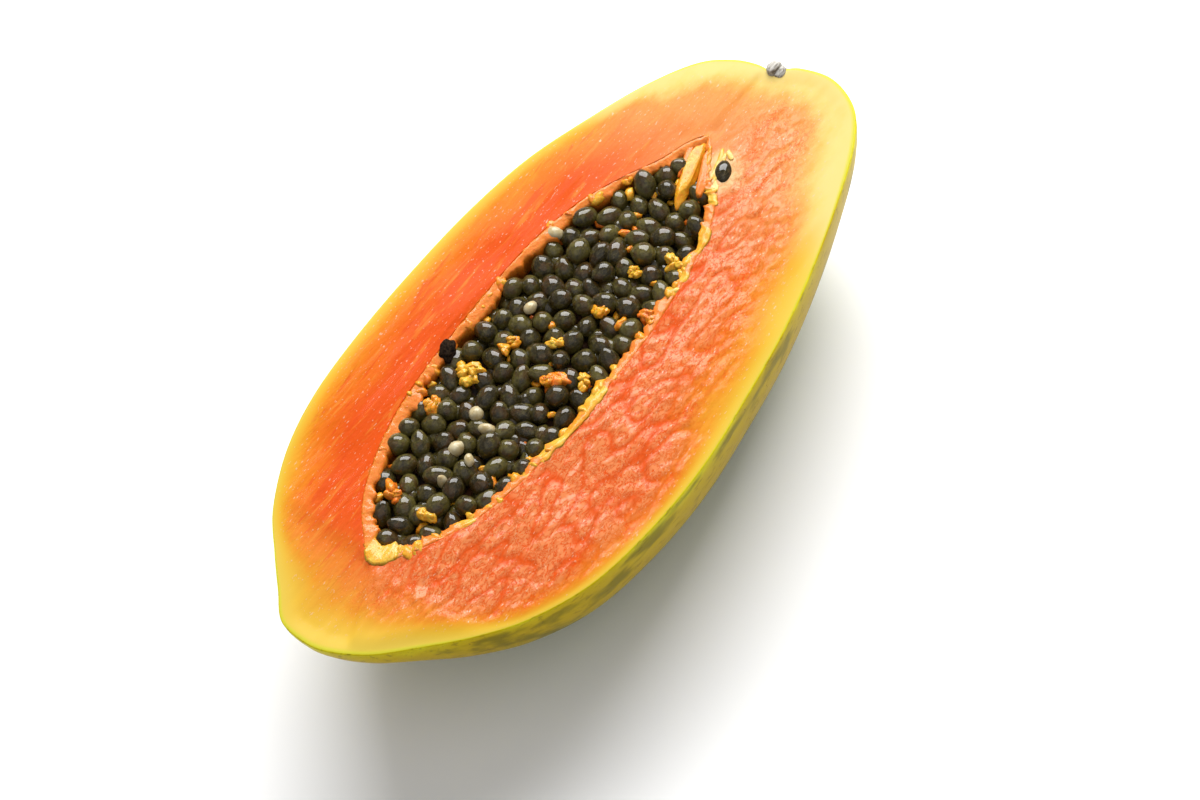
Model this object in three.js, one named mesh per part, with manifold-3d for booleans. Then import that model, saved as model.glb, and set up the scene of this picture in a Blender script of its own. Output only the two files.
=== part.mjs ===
// Half of a ripe papaya, cut lengthwise, lying on its rind with the cut face level and up.
// Millimetres, +Z up. +X runs to the stem end, -X to the blossom end. The plan values below are
// measured from the middle of the cut face, and the whole is set down on z = 0 at the end.

import * as THREE from "three";
import { mergeVertices } from "three/addons/utils/BufferGeometryUtils.js";
import Module from "manifold-3d";

const wasm = await Module();
wasm.setup();

// Driving dimensions of the fruit
const HALF_WIDTH = 54; // widest half width of the cut face
const DEPTH_RATIO = 0.92; // depth of the rind below the cut, over the half width there
const SECTION_POWER = 2.4; // squareness of the cross-section, where 2 is round
const LOBE_DEPTH = 0.02; // how far the valleys between the five soft lobes fall in
const LOBES = 5;
const BELLY_LEAN = 0.0012; // share by which the rind deepens for each millimetre to the stem end
const FLAT_CUT = 1.8; // what the small flat spot takes off the rind's lowest place
const CUT_LEVEL = HALF_WIDTH * DEPTH_RATIO - FLAT_CUT; // height of the cut face

// Outline of the cut face, from the blossom end round by the -Y side to the stem end and back
const OUTLINE = [
  [-109.8, 6], [-108.4, -2], [-102.6, -12.6], [-93.2, -22.8], [-82.2, -33.6], [-69.5, -42.8],
  [-52, -50.2], [-30, -53.4], [-8, -53.6], [14, -51], [36, -47.4], [58, -41.8], [79, -34.8],
  [95, -28.2], [105.2, -20.8], [109.9, -10], [108, 0.6], [103.8, 8.6], [100.6, 18], [94, 26.8],
  [80, 35.2], [62, 42.4], [42, 48.9], [20, 52.4], [-4, 53.8], [-28, 53.8], [-50, 52], [-68, 47.2],
  [-84, 38.6], [-94, 29.4], [-102, 21.2], [-108.4, 14.4],
];

// Edge of the seed hollow in the cut face, from its blossom end round the same way
const HOLLOW = [
  [-81, 4.4], [-74, -1.8], [-65, -7.2], [-54, -11.8], [-42, -14.4], [-28, -16], [-14, -16.8],
  [0, -16.6], [14, -16.4], [28, -15], [40, -12.8], [50, -10.4], [57.4, -7.2], [62, -3.2],
  [66, 1.4], [71, 5], [75.6, 8.6], [71.4, 12.4], [62, 16], [51, 21.8], [39, 26.8], [24, 30],
  [8, 31], [-10, 30.8], [-27, 30.2], [-43, 28.2], [-57, 24.2], [-69, 18.4], [-77, 11],
];
const HOLLOW_DEPTH = 27;
const HOLLOW_MIDDLE = [-3, 7];
const HOLLOW_SPINE = [[-62, 6], [56, 7]]; // the line that the hollow's walls lean in to
const HEADROOM = 12; // how far cutters stand over the cut face
const FOOTROOM = 1; // how far cutters reach under the ground
const SLAB_LONG = 6 * HALF_WIDTH; // a flat cutter's length and width, more than the fruit's
const SLAB_WIDE = 4 * HALF_WIDTH;
const NEAR_EDGE = 0.98; // stalks keep at least this near to the edge's own share of the way out

// Pale lining of the hollow, with a ragged lip
const GAP = 0.35; // clearance between pieces that lie against each other
const LINING_THICK = 1.5;
const LINING_RAGGED = 1.1; // how much thicker the lip gets in places
const FLAP_WIDTH = 4.2; // the wide flap of lining at the blossom end
const FLAP_REACH = 0.035; // how far round the edge the flap goes, as a share of it
const LIP_RISE = 0.5; // the lip's mean height over the cut face
const LIP_WAVE = 0.8; // how far the lip's height swings, as a share of its mean
const LIP_FALL = 0.4; // drop from the lip's outer edge to its inner edge
const LIP_WAVES = 10;
const RAGGED_WAVES = [7, 12];
const RAGGED_START = 1; // where in their swing those waves start, in radians

// Seeds
const SEED_LONG = 3.4; // half length of a seed
const SEED_WIDE = 2.85; // half width of a seed
const SEED_PITCH = 6.5; // spacing of the seeds before they settle
const SEED_NEAR = 6.1; // seeds closer than this push each other away
const SEED_SINK = 2.3; // depth of a seed's middle under the cut face
const SEED_WALL = 2.8; // distance from a seed's middle to the lining
const CORE_SINK = 3.9; // depth of the packed core's top under the cut face
const SEED_ROWS = 8; // rows and columns either side of the middle, more than the hollow holds
const SEED_COLUMNS = 16;
const ROW_APART = Math.sqrt(3) / 2; // distance between staggered rows, over the spacing
const SEED_JOG = 0.5; // how far a seed starts off its row, as a share of the spacing
const START_MARGIN = 0.6; // how near to the wall seeds may start, as a share of where they settle
const SETTLE_STEPS = 40;
const SETTLE_PUSH = 0.3; // share of an overlap that one step undoes
const POST_CLOSE = 0.6; // how much of a seed's half width stays clear of a lump
const SEED_TILT = 1.2; // range of the seeds' pitch, in radians
const SEED_SIZES = [0.9, 1.1];
const SEED_UPS = 1.6; // range of the seeds' height

// Soft pulp lumps that stand up among the seeds: x, y, radius, and how far the top stands
// over the cut face
const LUMPS = [
  [-62, 13, 3.2, 0.6], [-34.5, 22, 2.8, 0.8], [-18.5, 20, 3.6, 1], [-8.3, 14.8, 2.6, 1],
  [-1, 4.2, 2.2, 0.4], [-9.5, -1.6, 3.2, 0.6], [14, 0.4, 2.4, 0.2], [29, 0.4, 2.2, 0],
  [38, -7.2, 2.6, 0.2], [19.5, -12.2, 2.8, 0.2],
];

// Unripe pale seeds on their own stalks: x, y, half length, half width, top over the cut face
const UPRIGHT_OVER = 3; // unripe seeds with a longer half length than this stand on end
const PALE_SEEDS = [
  [4.2, 17.4, 2.2, 1.7, 1.4], [-30, 9.4, 2.2, 2.1, 1.2], [-32, 4, 2.6, 1.6, 0.8],
  [-51.2, 4.2, 4, 1.5, 2.8], [-42.4, 1.6, 2, 1.4, 1.6],
];
const LUMP_SPREAD = 1.5; // room that a lump takes up, over its radius
const BALL_AWAY = 0.4; // a lump's balls: their distance from its middle, over its radius
const BALL_LEAST = 0.6; // their least and greatest size, over its radius
const BALL_MOST = 0.75;
const BALL_STRETCH = 1.25; // a ball's length over its width
const BALL_DROP = 0.5; // how far a ball may hang under the lump's top, over its size
const STALK_RADIUS = 1.1;
const LUMP_STALK = 1.8; // radius of the stalk under a lump
const STALK_UNDER = 0.8; // depth of a stalk's top under its lump's, over the lump's radius
const STALK_ROOT = 1; // how far a stalk's foot goes into the lining
const STALK_FLARE = 1.6; // a stalk's foot over its top

// The strip of lining that runs into the hollow's pointed stem end: from, to, radius
const TONGUE = { from: [73, 9.4], to: [55, 4.4], radius: 2.1, sink: 2.2 };
const TONGUE_STEPS = [0, 0.25, 0.5, 0.75, 1]; // places along it that seeds keep away from

// One seed that sits in the flesh beside the hollow's pointed end
const LONE_SEED = { at: [68.6, -1.4], sink: 1.1, turn: 0.6 };

// Dry remnant of the stalk, in a dent of the rind at the stem end
const SCAR = { at: [103.6, 5.6], lobe: 1.9, apart: 2.1, length: 5.4, sink: 0.6, rise: 0.9 };
const DENT = { reach: 2.6, width: 5.2, height: 9 };

// Facets
const ROUND_STEPS = 56;
const RIND_ROWS = 11;
const HOLLOW_ROWS = 5;
const SEED_SIDES = [6, 4];
const LUMP_SIDES = [6, 4];
const SMALL_SIDES = [9, 7];
const DENT_SIDES = [12, 10];
const STALK_SIDES = 5;
const POST_SIDES = 8;
const BALLS_IN_LUMP = 2;
const OUTLINE_STEPS = 640;
const HOLLOW_STEPS = 224;
const MERGE_WITHIN = 1e-4;
const CURVE_TENSION = 0.5;

// Colours and roughness
const FLESH = { colour: 0xf0641c, roughness: 0.35 };
const PULP = { colour: 0xf2b04a, roughness: 0.4 };
const SEED = { colour: 0x2a2a20, roughness: 0.2 };
const STALK = { colour: 0x6d5a45, roughness: 0.9 };

// Repeatable random numbers from 0 to 1
const DRAW_FACTOR = 48271;
const DRAW_MODULUS = 2147483647;
const LUMP_DRAWS = 4021; // where each row of draws starts
const PLACE_DRAWS = 777;
const TURN_DRAWS = 909;
function drawsFrom(start) {
  let state = start;
  return () => {
    state = (state * DRAW_FACTOR) % DRAW_MODULUS;
    return state / DRAW_MODULUS;
  };
}

// Plan curves
function curvePlan(points, steps) {
  const corners = points.map(([x, y]) => new THREE.Vector3(x, y, 0));
  const curve = new THREE.CatmullRomCurve3(corners, true, "catmullrom", CURVE_TENSION);
  return curve.getPoints(steps).slice(0, steps).map((p) => [p.x, p.y]);
}

const rimDense = curvePlan(OUTLINE, OUTLINE_STEPS);
const rimPlan = curvePlan(OUTLINE, ROUND_STEPS);
const hollowPlan = curvePlan(HOLLOW, ROUND_STEPS);
const hollowFine = curvePlan(HOLLOW, HOLLOW_STEPS);

// The two edges of the cut face at station x
function edgesAt(x) {
  let low = Infinity;
  let high = -Infinity;
  rimDense.forEach(([ax, ay], i) => {
    const [bx, by] = rimDense[(i + 1) % rimDense.length];
    if ((ax - x) * (bx - x) > 0 || ax === bx) return;
    const y = ay + ((x - ax) / (bx - ax)) * (by - ay);
    low = Math.min(low, y);
    high = Math.max(high, y);
  });
  return [low, high];
}

// Depth of the rind's outside under the cut face
function rindDepth(x, y) {
  const [low, high] = edgesAt(x);
  const half = (high - low) / 2;
  if (!(half > 0)) return 0;
  const across = THREE.MathUtils.clamp((y - (low + high) / 2) / half, -1, 1);
  const bow = Math.pow(1 - Math.pow(Math.abs(across), SECTION_POWER), 1 / SECTION_POWER);
  const lobes = 1 - (LOBE_DEPTH * (1 - Math.cos(LOBES * Math.asin(across)))) / 2;
  return DEPTH_RATIO * half * bow * lobes * (1 + BELLY_LEAN * x);
}

// Closed solids from rings of points
function solidOf(geometry) {
  geometry.deleteAttribute("normal");
  geometry.deleteAttribute("uv");
  const merged = mergeVertices(geometry, MERGE_WITHIN);
  const vertProperties = new Float32Array(merged.attributes.position.array);
  const triVerts = new Uint32Array(merged.index.array);
  return new wasm.Manifold(new wasm.Mesh({ numProp: 3, vertProperties, triVerts }));
}

// Rings run counter-clockwise seen from above, from the pole underneath to the pole on top
function ringSolid(under, rings, top) {
  const count = rings[0].length;
  const points = [under, ...rings.flat(), top];
  const last = points.length - 1;
  const index = [];
  for (let i = 0; i < count; i++) {
    const j = (i + 1) % count;
    index.push(0, 1 + j, 1 + i);
    for (let row = 1; row < rings.length; row++) {
      const a = 1 + (row - 1) * count;
      const b = a + count;
      index.push(a + i, a + j, b + j, a + i, b + j, b + i);
    }
    const end = 1 + (rings.length - 1) * count;
    index.push(end + i, end + j, last);
  }
  const geometry = new THREE.BufferGeometry();
  geometry.setAttribute("position", new THREE.Float32BufferAttribute(points.flat(), 3));
  geometry.setIndex(index);
  return solidOf(geometry);
}

function ellipsoid(centre, radii, turn, sides) {
  const geometry = new THREE.SphereGeometry(1, sides[0], sides[1]);
  geometry.applyMatrix4(new THREE.Matrix4().compose(centre, turn, radii));
  return solidOf(geometry);
}

function meshOf(name, solid, { colour, roughness }) {
  const { vertProperties, triVerts } = solid.getMesh();
  const geometry = new THREE.BufferGeometry();
  geometry.setAttribute("position", new THREE.BufferAttribute(vertProperties, 3));
  geometry.setIndex(new THREE.BufferAttribute(triVerts, 1));
  geometry.computeVertexNormals();
  const material = new THREE.MeshStandardMaterial({ color: colour, roughness, metalness: 0 });
  const mesh = new THREE.Mesh(geometry, material);
  mesh.name = name;
  return mesh;
}

// The hollow's wall, set in by some distance: angle 0 is its edge and a quarter turn its bottom
function insetPlan([x, y], inset) {
  const [[ax, ay], [bx, by]] = HOLLOW_SPINE;
  const share = THREE.MathUtils.clamp((x - ax) / (bx - ax), 0, 1);
  const dx = ax + share * (bx - ax) - x;
  const dy = ay + share * (by - ay) - y;
  const long = Math.hypot(dx, dy);
  return [x + (dx / long) * inset, y + (dy / long) * inset];
}

function hollowRing(angle, insetOf) {
  const power = 2 / SECTION_POWER;
  const out = Math.pow(Math.cos(angle), power);
  const down = Math.pow(Math.sin(angle), power);
  return hollowPlan.map((point, i) => {
    const inset = insetOf(i);
    const [x, y] = insetPlan(point, inset);
    return [
      HOLLOW_MIDDLE[0] + (x - HOLLOW_MIDDLE[0]) * out,
      HOLLOW_MIDDLE[1] + (y - HOLLOW_MIDDLE[1]) * out,
      CUT_LEVEL - (HOLLOW_DEPTH - inset) * down,
    ];
  });
}

function hollowBottom(inset) {
  return [...HOLLOW_MIDDLE, CUT_LEVEL - HOLLOW_DEPTH + inset];
}

function rowAngles(rows) {
  return Array.from({ length: rows }, (_, i) => ((i + 1) / (rows + 1)) * (Math.PI / 2));
}

// Thickness of the lining at the step i round the hollow's edge
function liningInset(i) {
  const share = i / ROUND_STEPS;
  const [slow, quick] = RAGGED_WAVES.map((waves) => Math.sin(2 * Math.PI * waves * share + RAGGED_START));
  const wave = slow * quick;
  const near = Math.min(share, 1 - share) / FLAP_REACH;
  return LINING_THICK + LINING_RAGGED * wave * wave + FLAP_WIDTH * Math.exp(-near * near);
}

function lipHeight(i) {
  const share = i / ROUND_STEPS;
  return CUT_LEVEL + LIP_RISE * (1 + LIP_WAVE * Math.sin(2 * Math.PI * LIP_WAVES * share));
}

// A filled bowl of the hollow's form, carried straight up past the cut face
function bowl(insetOf, bottomInset) {
  const walls = [...rowAngles(HOLLOW_ROWS).reverse(), 0].map((angle) => hollowRing(angle, insetOf));
  const level = CUT_LEVEL + HEADROOM;
  const top = hollowRing(0, insetOf).map(([x, y]) => [x, y, level]);
  return ringSolid(hollowBottom(bottomInset), [...walls, top], [...HOLLOW_MIDDLE, level]);
}

// Everything between two heights
function slab(low, high) {
  const geometry = new THREE.BoxGeometry(SLAB_LONG, SLAB_WIDE, high - low);
  geometry.translate(0, 0, (low + high) / 2);
  return solidOf(geometry);
}

// Rind and flesh in one piece, with the hollow, the dent and the pockets in it
function fruitBody() {
  const power = 2 / SECTION_POWER;
  const rind = rowAngles(RIND_ROWS).map((angle) => {
    const out = Math.pow(Math.sin(angle), power);
    return rimPlan.map(([x, y]) => {
      const level = CUT_LEVEL - rindDepth(x * out, y * out);
      return [x * out, y * out, Math.max(level, 0)];
    });
  });
  const rim = rimPlan.map(([x, y]) => [x, y, CUT_LEVEL]);
  const between = rimPlan.map(([x, y], i) => {
    const [hx, hy] = hollowPlan[i];
    return [(x + hx) / 2, (y + hy) / 2, CUT_LEVEL];
  });
  const edge = hollowPlan.map(([x, y]) => [x, y, CUT_LEVEL]);
  const walls = rowAngles(HOLLOW_ROWS).map((angle) => hollowRing(angle, () => 0));
  return ringSolid([0, 0, 0], [...rind, rim, between, edge, ...walls], hollowBottom(0));
}

const NO_TURN = new THREE.Quaternion();

function aboutZ(angle) {
  return new THREE.Quaternion().setFromAxisAngle(new THREE.Vector3(0, 0, 1), angle);
}

function dentSolid() {
  const x = SCAR.at[0] + SCAR.length / 2 + DENT.reach / 2;
  const centre = new THREE.Vector3(x, SCAR.at[1], CUT_LEVEL);
  const radii = new THREE.Vector3(DENT.reach, DENT.width, DENT.height);
  return ellipsoid(centre, radii, NO_TURN, DENT_SIDES);
}

// Two woody lobes side by side, grown by the clearance when they are used as a cutter
function scarSolid(grow) {
  const lobes = [-1, 1].map((side) => {
    const level = CUT_LEVEL - SCAR.sink + (side * SCAR.rise) / 2;
    const centre = new THREE.Vector3(SCAR.at[0], SCAR.at[1] + (side * SCAR.apart) / 2, level);
    const radii = new THREE.Vector3(SCAR.length / 2 + grow, SCAR.lobe + grow, SCAR.lobe + grow);
    return ellipsoid(centre, radii, NO_TURN, SMALL_SIDES);
  });
  return lobes[0].add(lobes[1]);
}

function loneSeedSolid(grow) {
  const centre = new THREE.Vector3(...LONE_SEED.at, CUT_LEVEL - LONE_SEED.sink);
  const turn = aboutZ(LONE_SEED.turn);
  const radii = new THREE.Vector3(SEED_LONG + grow, SEED_WIDE + grow, SEED_WIDE + grow);
  return ellipsoid(centre, radii, turn, SMALL_SIDES);
}

// Level of the hollow's floor under a plan point
function floorLevel(x, y) {
  const angle = Math.atan2(y - HOLLOW_MIDDLE[1], x - HOLLOW_MIDDLE[0]);
  let reach = 0;
  let closest = Infinity;
  hollowFine.forEach(([hx, hy]) => {
    const dx = hx - HOLLOW_MIDDLE[0];
    const dy = hy - HOLLOW_MIDDLE[1];
    const off = Math.abs(Math.sin((Math.atan2(dy, dx) - angle) / 2));
    if (off >= closest) return;
    closest = off;
    reach = Math.hypot(dx, dy);
  });
  const share = Math.min(Math.hypot(x - HOLLOW_MIDDLE[0], y - HOLLOW_MIDDLE[1]) / reach, NEAR_EDGE);
  return CUT_LEVEL - HOLLOW_DEPTH * Math.pow(1 - Math.pow(share, SECTION_POWER), 1 / SECTION_POWER);
}

// A stalk from the lining's floor up to a lump or an unripe seed
function stalkSolid(x, y, top, radius) {
  const foot = floorLevel(x, y) - STALK_ROOT;
  const geometry = new THREE.CylinderGeometry(radius, radius * STALK_FLARE, top - foot, STALK_SIDES);
  geometry.rotateX(Math.PI / 2);
  geometry.translate(x, y, (top + foot) / 2);
  return solidOf(geometry);
}

function lumpSolids() {
  const draw = drawsFrom(LUMP_DRAWS);
  const solids = [];
  LUMPS.forEach(([x, y, radius, rise]) => {
    for (let ball = 0; ball < BALLS_IN_LUMP; ball++) {
      const turn = draw() * 2 * Math.PI;
      const away = radius * BALL_AWAY;
      const size = radius * (BALL_LEAST + (BALL_MOST - BALL_LEAST) * draw());
      const level = CUT_LEVEL + rise - size * (1 + BALL_DROP * draw());
      const centre = new THREE.Vector3(x + away * Math.cos(turn), y + away * Math.sin(turn), level);
      const radii = new THREE.Vector3(size * BALL_STRETCH, size, size);
      solids.push(ellipsoid(centre, radii, aboutZ(draw() * Math.PI), LUMP_SIDES));
    }
    solids.push(stalkSolid(x, y, CUT_LEVEL + rise - radius * STALK_UNDER, LUMP_STALK));
  });
  return solids;
}

function paleSeedSolids() {
  return PALE_SEEDS.flatMap(([x, y, long, wide, rise], i) => {
    const upright = long > UPRIGHT_OVER;
    const half = upright ? long : wide;
    const centre = new THREE.Vector3(x, y, CUT_LEVEL + rise - half);
    const radii = upright
      ? new THREE.Vector3(wide, wide, long)
      : new THREE.Vector3(long, wide, wide);
    return [
      ellipsoid(centre, radii, aboutZ(i), LUMP_SIDES),
      stalkSolid(x, y, CUT_LEVEL + rise - half, STALK_RADIUS),
    ];
  });
}

function tongueSolid(grow) {
  const [ax, ay] = TONGUE.from;
  const [bx, by] = TONGUE.to;
  const centre = new THREE.Vector3((ax + bx) / 2, (ay + by) / 2, CUT_LEVEL - TONGUE.sink);
  const turn = aboutZ(Math.atan2(ay - by, ax - bx));
  const long = Math.hypot(ax - bx, ay - by) / 2 + TONGUE.radius;
  const radii = new THREE.Vector3(long + grow, TONGUE.radius + grow, TONGUE.radius + grow);
  return ellipsoid(centre, radii, turn, SMALL_SIDES);
}

// The lining: a thin bowl with a ragged lip
function liningBowl() {
  const angles = [...rowAngles(HOLLOW_ROWS).reverse(), 0];
  const outer = angles.map((angle) => hollowRing(angle, () => GAP));
  const lip = hollowRing(0, () => GAP).map(([x, y], i) => [x, y, lipHeight(i)]);
  const inner = hollowRing(0, liningInset).map(([x, y], i) => [x, y, lipHeight(i) - LIP_FALL]);
  const walls = rowAngles(HOLLOW_ROWS).map((angle) => hollowRing(angle, liningInset));
  return ringSolid(hollowBottom(GAP), [...outer, lip, inner, ...walls], hollowBottom(LINING_THICK));
}

function fused(solids) {
  return solids.reduce((all, solid) => all.add(solid));
}

// Scraps that a cut leaves loose are dropped
function largestOf(solid) {
  return solid.decompose().reduce((best, piece) => (piece.volume() > best.volume() ? piece : best));
}

// The lining with all that grows up from it among the seeds
function liningSolid() {
  const within = bowl(() => GAP, GAP);
  const pulp = fused([...lumpSolids(), ...paleSeedSolids(), tongueSolid(0)]);
  return liningBowl().add(pulp.intersect(within));
}

// The room that a lump or an unripe seed and its stalk take up among the seeds
function postSolid(x, y, radius) {
  const foot = floorLevel(x, y) - 2 * STALK_ROOT;
  const height = CUT_LEVEL + HEADROOM - foot;
  const geometry = new THREE.CylinderGeometry(radius, radius, height, POST_SIDES);
  geometry.rotateX(Math.PI / 2);
  geometry.translate(x, y, foot + height / 2);
  return solidOf(geometry);
}

function pulpRoom() {
  const lumps = LUMPS.map(([x, y, radius]) => postSolid(x, y, radius * LUMP_SPREAD + GAP));
  const pale = PALE_SEEDS.map(([x, y, long]) => postSolid(x, y, Math.min(long, UPRIGHT_OVER) + GAP));
  return fused([...lumps, ...pale, tongueSolid(GAP)]);
}

// Signed distance of a plan point inside the hollow's edge, with the inward direction there
function insideHollow(x, y) {
  let best = Infinity;
  let at = 0;
  hollowFine.forEach(([hx, hy], i) => {
    const far = (hx - x) ** 2 + (hy - y) ** 2;
    if (far < best) {
      best = far;
      at = i;
    }
  });
  const count = hollowFine.length;
  const before = hollowFine[(at + count - 1) % count];
  const after = hollowFine[(at + 1) % count];
  const tx = after[0] - before[0];
  const ty = after[1] - before[1];
  const long = Math.sqrt(tx * tx + ty * ty);
  const inX = -ty / long;
  const inY = tx / long;
  const [hx, hy] = hollowFine[at];
  return { depth: (x - hx) * inX + (y - hy) * inY, inX, inY };
}

// Seeds start on staggered rows, are jogged a little, and then push each other and the wall away
function seedPlan() {
  const draw = drawsFrom(PLACE_DRAWS);
  const margin = LINING_THICK + SEED_WALL;
  const kept = [];
  const rowPitch = SEED_PITCH * ROW_APART;
  for (let row = -SEED_ROWS; row <= SEED_ROWS; row++) {
    for (let step = -SEED_COLUMNS; step <= SEED_COLUMNS; step++) {
      const jogX = (draw() - 0.5) * SEED_PITCH * SEED_JOG;
      const jogY = (draw() - 0.5) * SEED_PITCH * SEED_JOG;
      const x = (step + (row & 1) / 2) * SEED_PITCH + jogX;
      const y = HOLLOW_MIDDLE[1] + row * rowPitch + jogY;
      if (insideHollow(x, y).depth > margin * START_MARGIN) kept.push([x, y]);
    }
  }
  const posts = [
    ...LUMPS.map(([x, y, radius]) => [x, y, radius + SEED_WIDE * POST_CLOSE]),
    ...PALE_SEEDS.map(([x, y, , wide]) => [x, y, wide + SEED_WIDE * POST_CLOSE]),
    ...TONGUE_STEPS.map((share) => [
      THREE.MathUtils.lerp(TONGUE.from[0], TONGUE.to[0], share),
      THREE.MathUtils.lerp(TONGUE.from[1], TONGUE.to[1], share),
      TONGUE.radius + SEED_WIDE,
    ]),
  ];
  let seeds = kept;
  for (let pass = 0; pass < SETTLE_STEPS; pass++) {
    seeds = seeds.map(([x, y], i) => {
      let moveX = 0;
      let moveY = 0;
      const push = (ox, oy, near) => {
        const dx = x - ox;
        const dy = y - oy;
        const far = Math.sqrt(dx * dx + dy * dy);
        if (far >= near || far === 0) return;
        moveX += (dx / far) * (near - far) * SETTLE_PUSH;
        moveY += (dy / far) * (near - far) * SETTLE_PUSH;
      };
      seeds.forEach(([ox, oy], k) => k !== i && push(ox, oy, SEED_NEAR));
      posts.forEach(([ox, oy, near]) => push(ox, oy, near));
      const wall = insideHollow(x, y);
      const lack = Math.max(margin - wall.depth, 0);
      return [x + moveX + wall.inX * lack, y + moveY + wall.inY * lack];
    });
  }
  return seeds;
}

function seedSolids() {
  const draw = drawsFrom(TURN_DRAWS);
  return seedPlan().map(([x, y]) => {
    const heading = draw() * Math.PI;
    const pitch = (draw() - 0.5) * SEED_TILT;
    const size = THREE.MathUtils.lerp(...SEED_SIZES, draw());
    const level = CUT_LEVEL - SEED_SINK + (draw() - 0.5) * SEED_UPS;
    const turn = new THREE.Quaternion().setFromEuler(new THREE.Euler(0, pitch, heading, "ZYX"));
    const radii = new THREE.Vector3(SEED_LONG * size, SEED_WIDE * size, SEED_WIDE * size);
    return ellipsoid(new THREE.Vector3(x, y, level), radii, turn, SEED_SIDES);
  });
}

// Seeds fused on the packed mass of seeds under them, cleared from the lining and its lumps
function seedMass() {
  const clear = bowl((i) => liningInset(i) + GAP, LINING_THICK + GAP);
  const within = bowl((i) => liningInset(i) + 2 * GAP, LINING_THICK + 2 * GAP);
  const core = within.subtract(slab(CUT_LEVEL - CORE_SINK, CUT_LEVEL + 2 * HEADROOM));
  const wall = slab(-FOOTROOM, CUT_LEVEL + 2 * LIP_RISE + GAP).subtract(clear);
  return largestOf(fused([core, ...seedSolids()]).subtract(wall).subtract(pulpRoom()));
}

// Assembly
const body = fruitBody()
  .subtract(dentSolid())
  .subtract(scarSolid(GAP))
  .subtract(loneSeedSolid(GAP));

const fruit = new THREE.Group();
fruit.name = "papaya_half";
fruit.add(meshOf("fruit_half", body, FLESH));
fruit.add(meshOf("pulp_lining", liningSolid(), PULP));
fruit.add(meshOf("seed_mass", seedMass(), SEED));
fruit.add(meshOf("lone_seed", loneSeedSolid(0), SEED));
fruit.add(meshOf("stalk_scar", scarSolid(0), STALK));

// The origin goes under the middle of the box
const box = new THREE.Box3().setFromObject(fruit);
fruit.position.set(-(box.min.x + box.max.x) / 2, -(box.min.y + box.max.y) / 2, -box.min.z);

export default fruit;
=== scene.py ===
import math

import bpy
import numpy as np
from mathutils import Euler, Matrix, Vector, noise


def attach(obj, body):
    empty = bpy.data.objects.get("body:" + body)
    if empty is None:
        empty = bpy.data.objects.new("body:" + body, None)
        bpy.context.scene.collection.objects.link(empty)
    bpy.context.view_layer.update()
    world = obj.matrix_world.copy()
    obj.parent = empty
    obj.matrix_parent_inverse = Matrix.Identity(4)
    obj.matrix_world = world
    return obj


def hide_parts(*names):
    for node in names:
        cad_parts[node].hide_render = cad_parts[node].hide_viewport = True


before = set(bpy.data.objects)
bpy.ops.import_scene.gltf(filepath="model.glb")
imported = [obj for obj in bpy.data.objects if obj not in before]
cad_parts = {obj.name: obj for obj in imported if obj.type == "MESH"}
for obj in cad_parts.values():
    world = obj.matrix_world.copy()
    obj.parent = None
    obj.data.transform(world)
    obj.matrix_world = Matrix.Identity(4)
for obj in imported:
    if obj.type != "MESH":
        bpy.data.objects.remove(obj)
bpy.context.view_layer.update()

# Half of a ripe papaya, cut lengthwise. Lengths are in millimetres, measured in plan from the
# middle of the cut face, and a mesh is turned into metres in the part's frame at its end.
MM = 0.001
PLAN_SHIFT = (0.07, -0.08, 0.0)

# Form of the half, as in the CAD part
HALF_WIDTH = 54
DEPTH_RATIO = 0.92
SECTION_POWER = 2.4
LOBE_DEPTH = 0.02
LOBES = 5
BELLY_LEAN = 0.0012
FLAT_CUT = 1.8
CUT_LEVEL = HALF_WIDTH * DEPTH_RATIO - FLAT_CUT
OUTLINE = [
    (-109.8, 6), (-108.4, -2), (-102.6, -12.6), (-93.2, -22.8), (-82.2, -33.6), (-69.5, -42.8),
    (-52, -50.2), (-30, -53.4), (-8, -53.6), (14, -51), (36, -47.4), (58, -41.8), (79, -34.8),
    (95, -28.2), (105.2, -20.8), (109.9, -10), (108, 0.6), (103.8, 8.6), (100.6, 18), (94, 26.8),
    (80, 35.2), (62, 42.4), (42, 48.9), (20, 52.4), (-4, 53.8), (-28, 53.8), (-50, 52),
    (-68, 47.2), (-84, 38.6), (-94, 29.4), (-102, 21.2), (-108.4, 14.4),
]
HOLLOW = [
    (-81, 4.4), (-74, -1.8), (-65, -7.2), (-54, -11.8), (-42, -14.4), (-28, -16), (-14, -16.8),
    (0, -16.6), (14, -16.4), (28, -15), (40, -12.8), (50, -10.4), (57.4, -7.2), (62, -3.2),
    (66, 1.4), (71, 5), (75.6, 8.6), (71.4, 12.4), (62, 16), (51, 21.8), (39, 26.8), (24, 30),
    (8, 31), (-10, 30.8), (-27, 30.2), (-43, 28.2), (-57, 24.2), (-69, 18.4), (-77, 11),
]
HOLLOW_DEPTH = 27
HOLLOW_MIDDLE = (-3, 7)
HOLLOW_SPINE = ((-62, 6), (56, 7))
GAP = 0.35
LINING_THICK = 1.5
LINING_RAGGED = 1.1
FLAP_WIDTH = 4.2
FLAP_REACH = 0.035
RAGGED_WAVES = (7, 12)
RAGGED_START = 1

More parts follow.
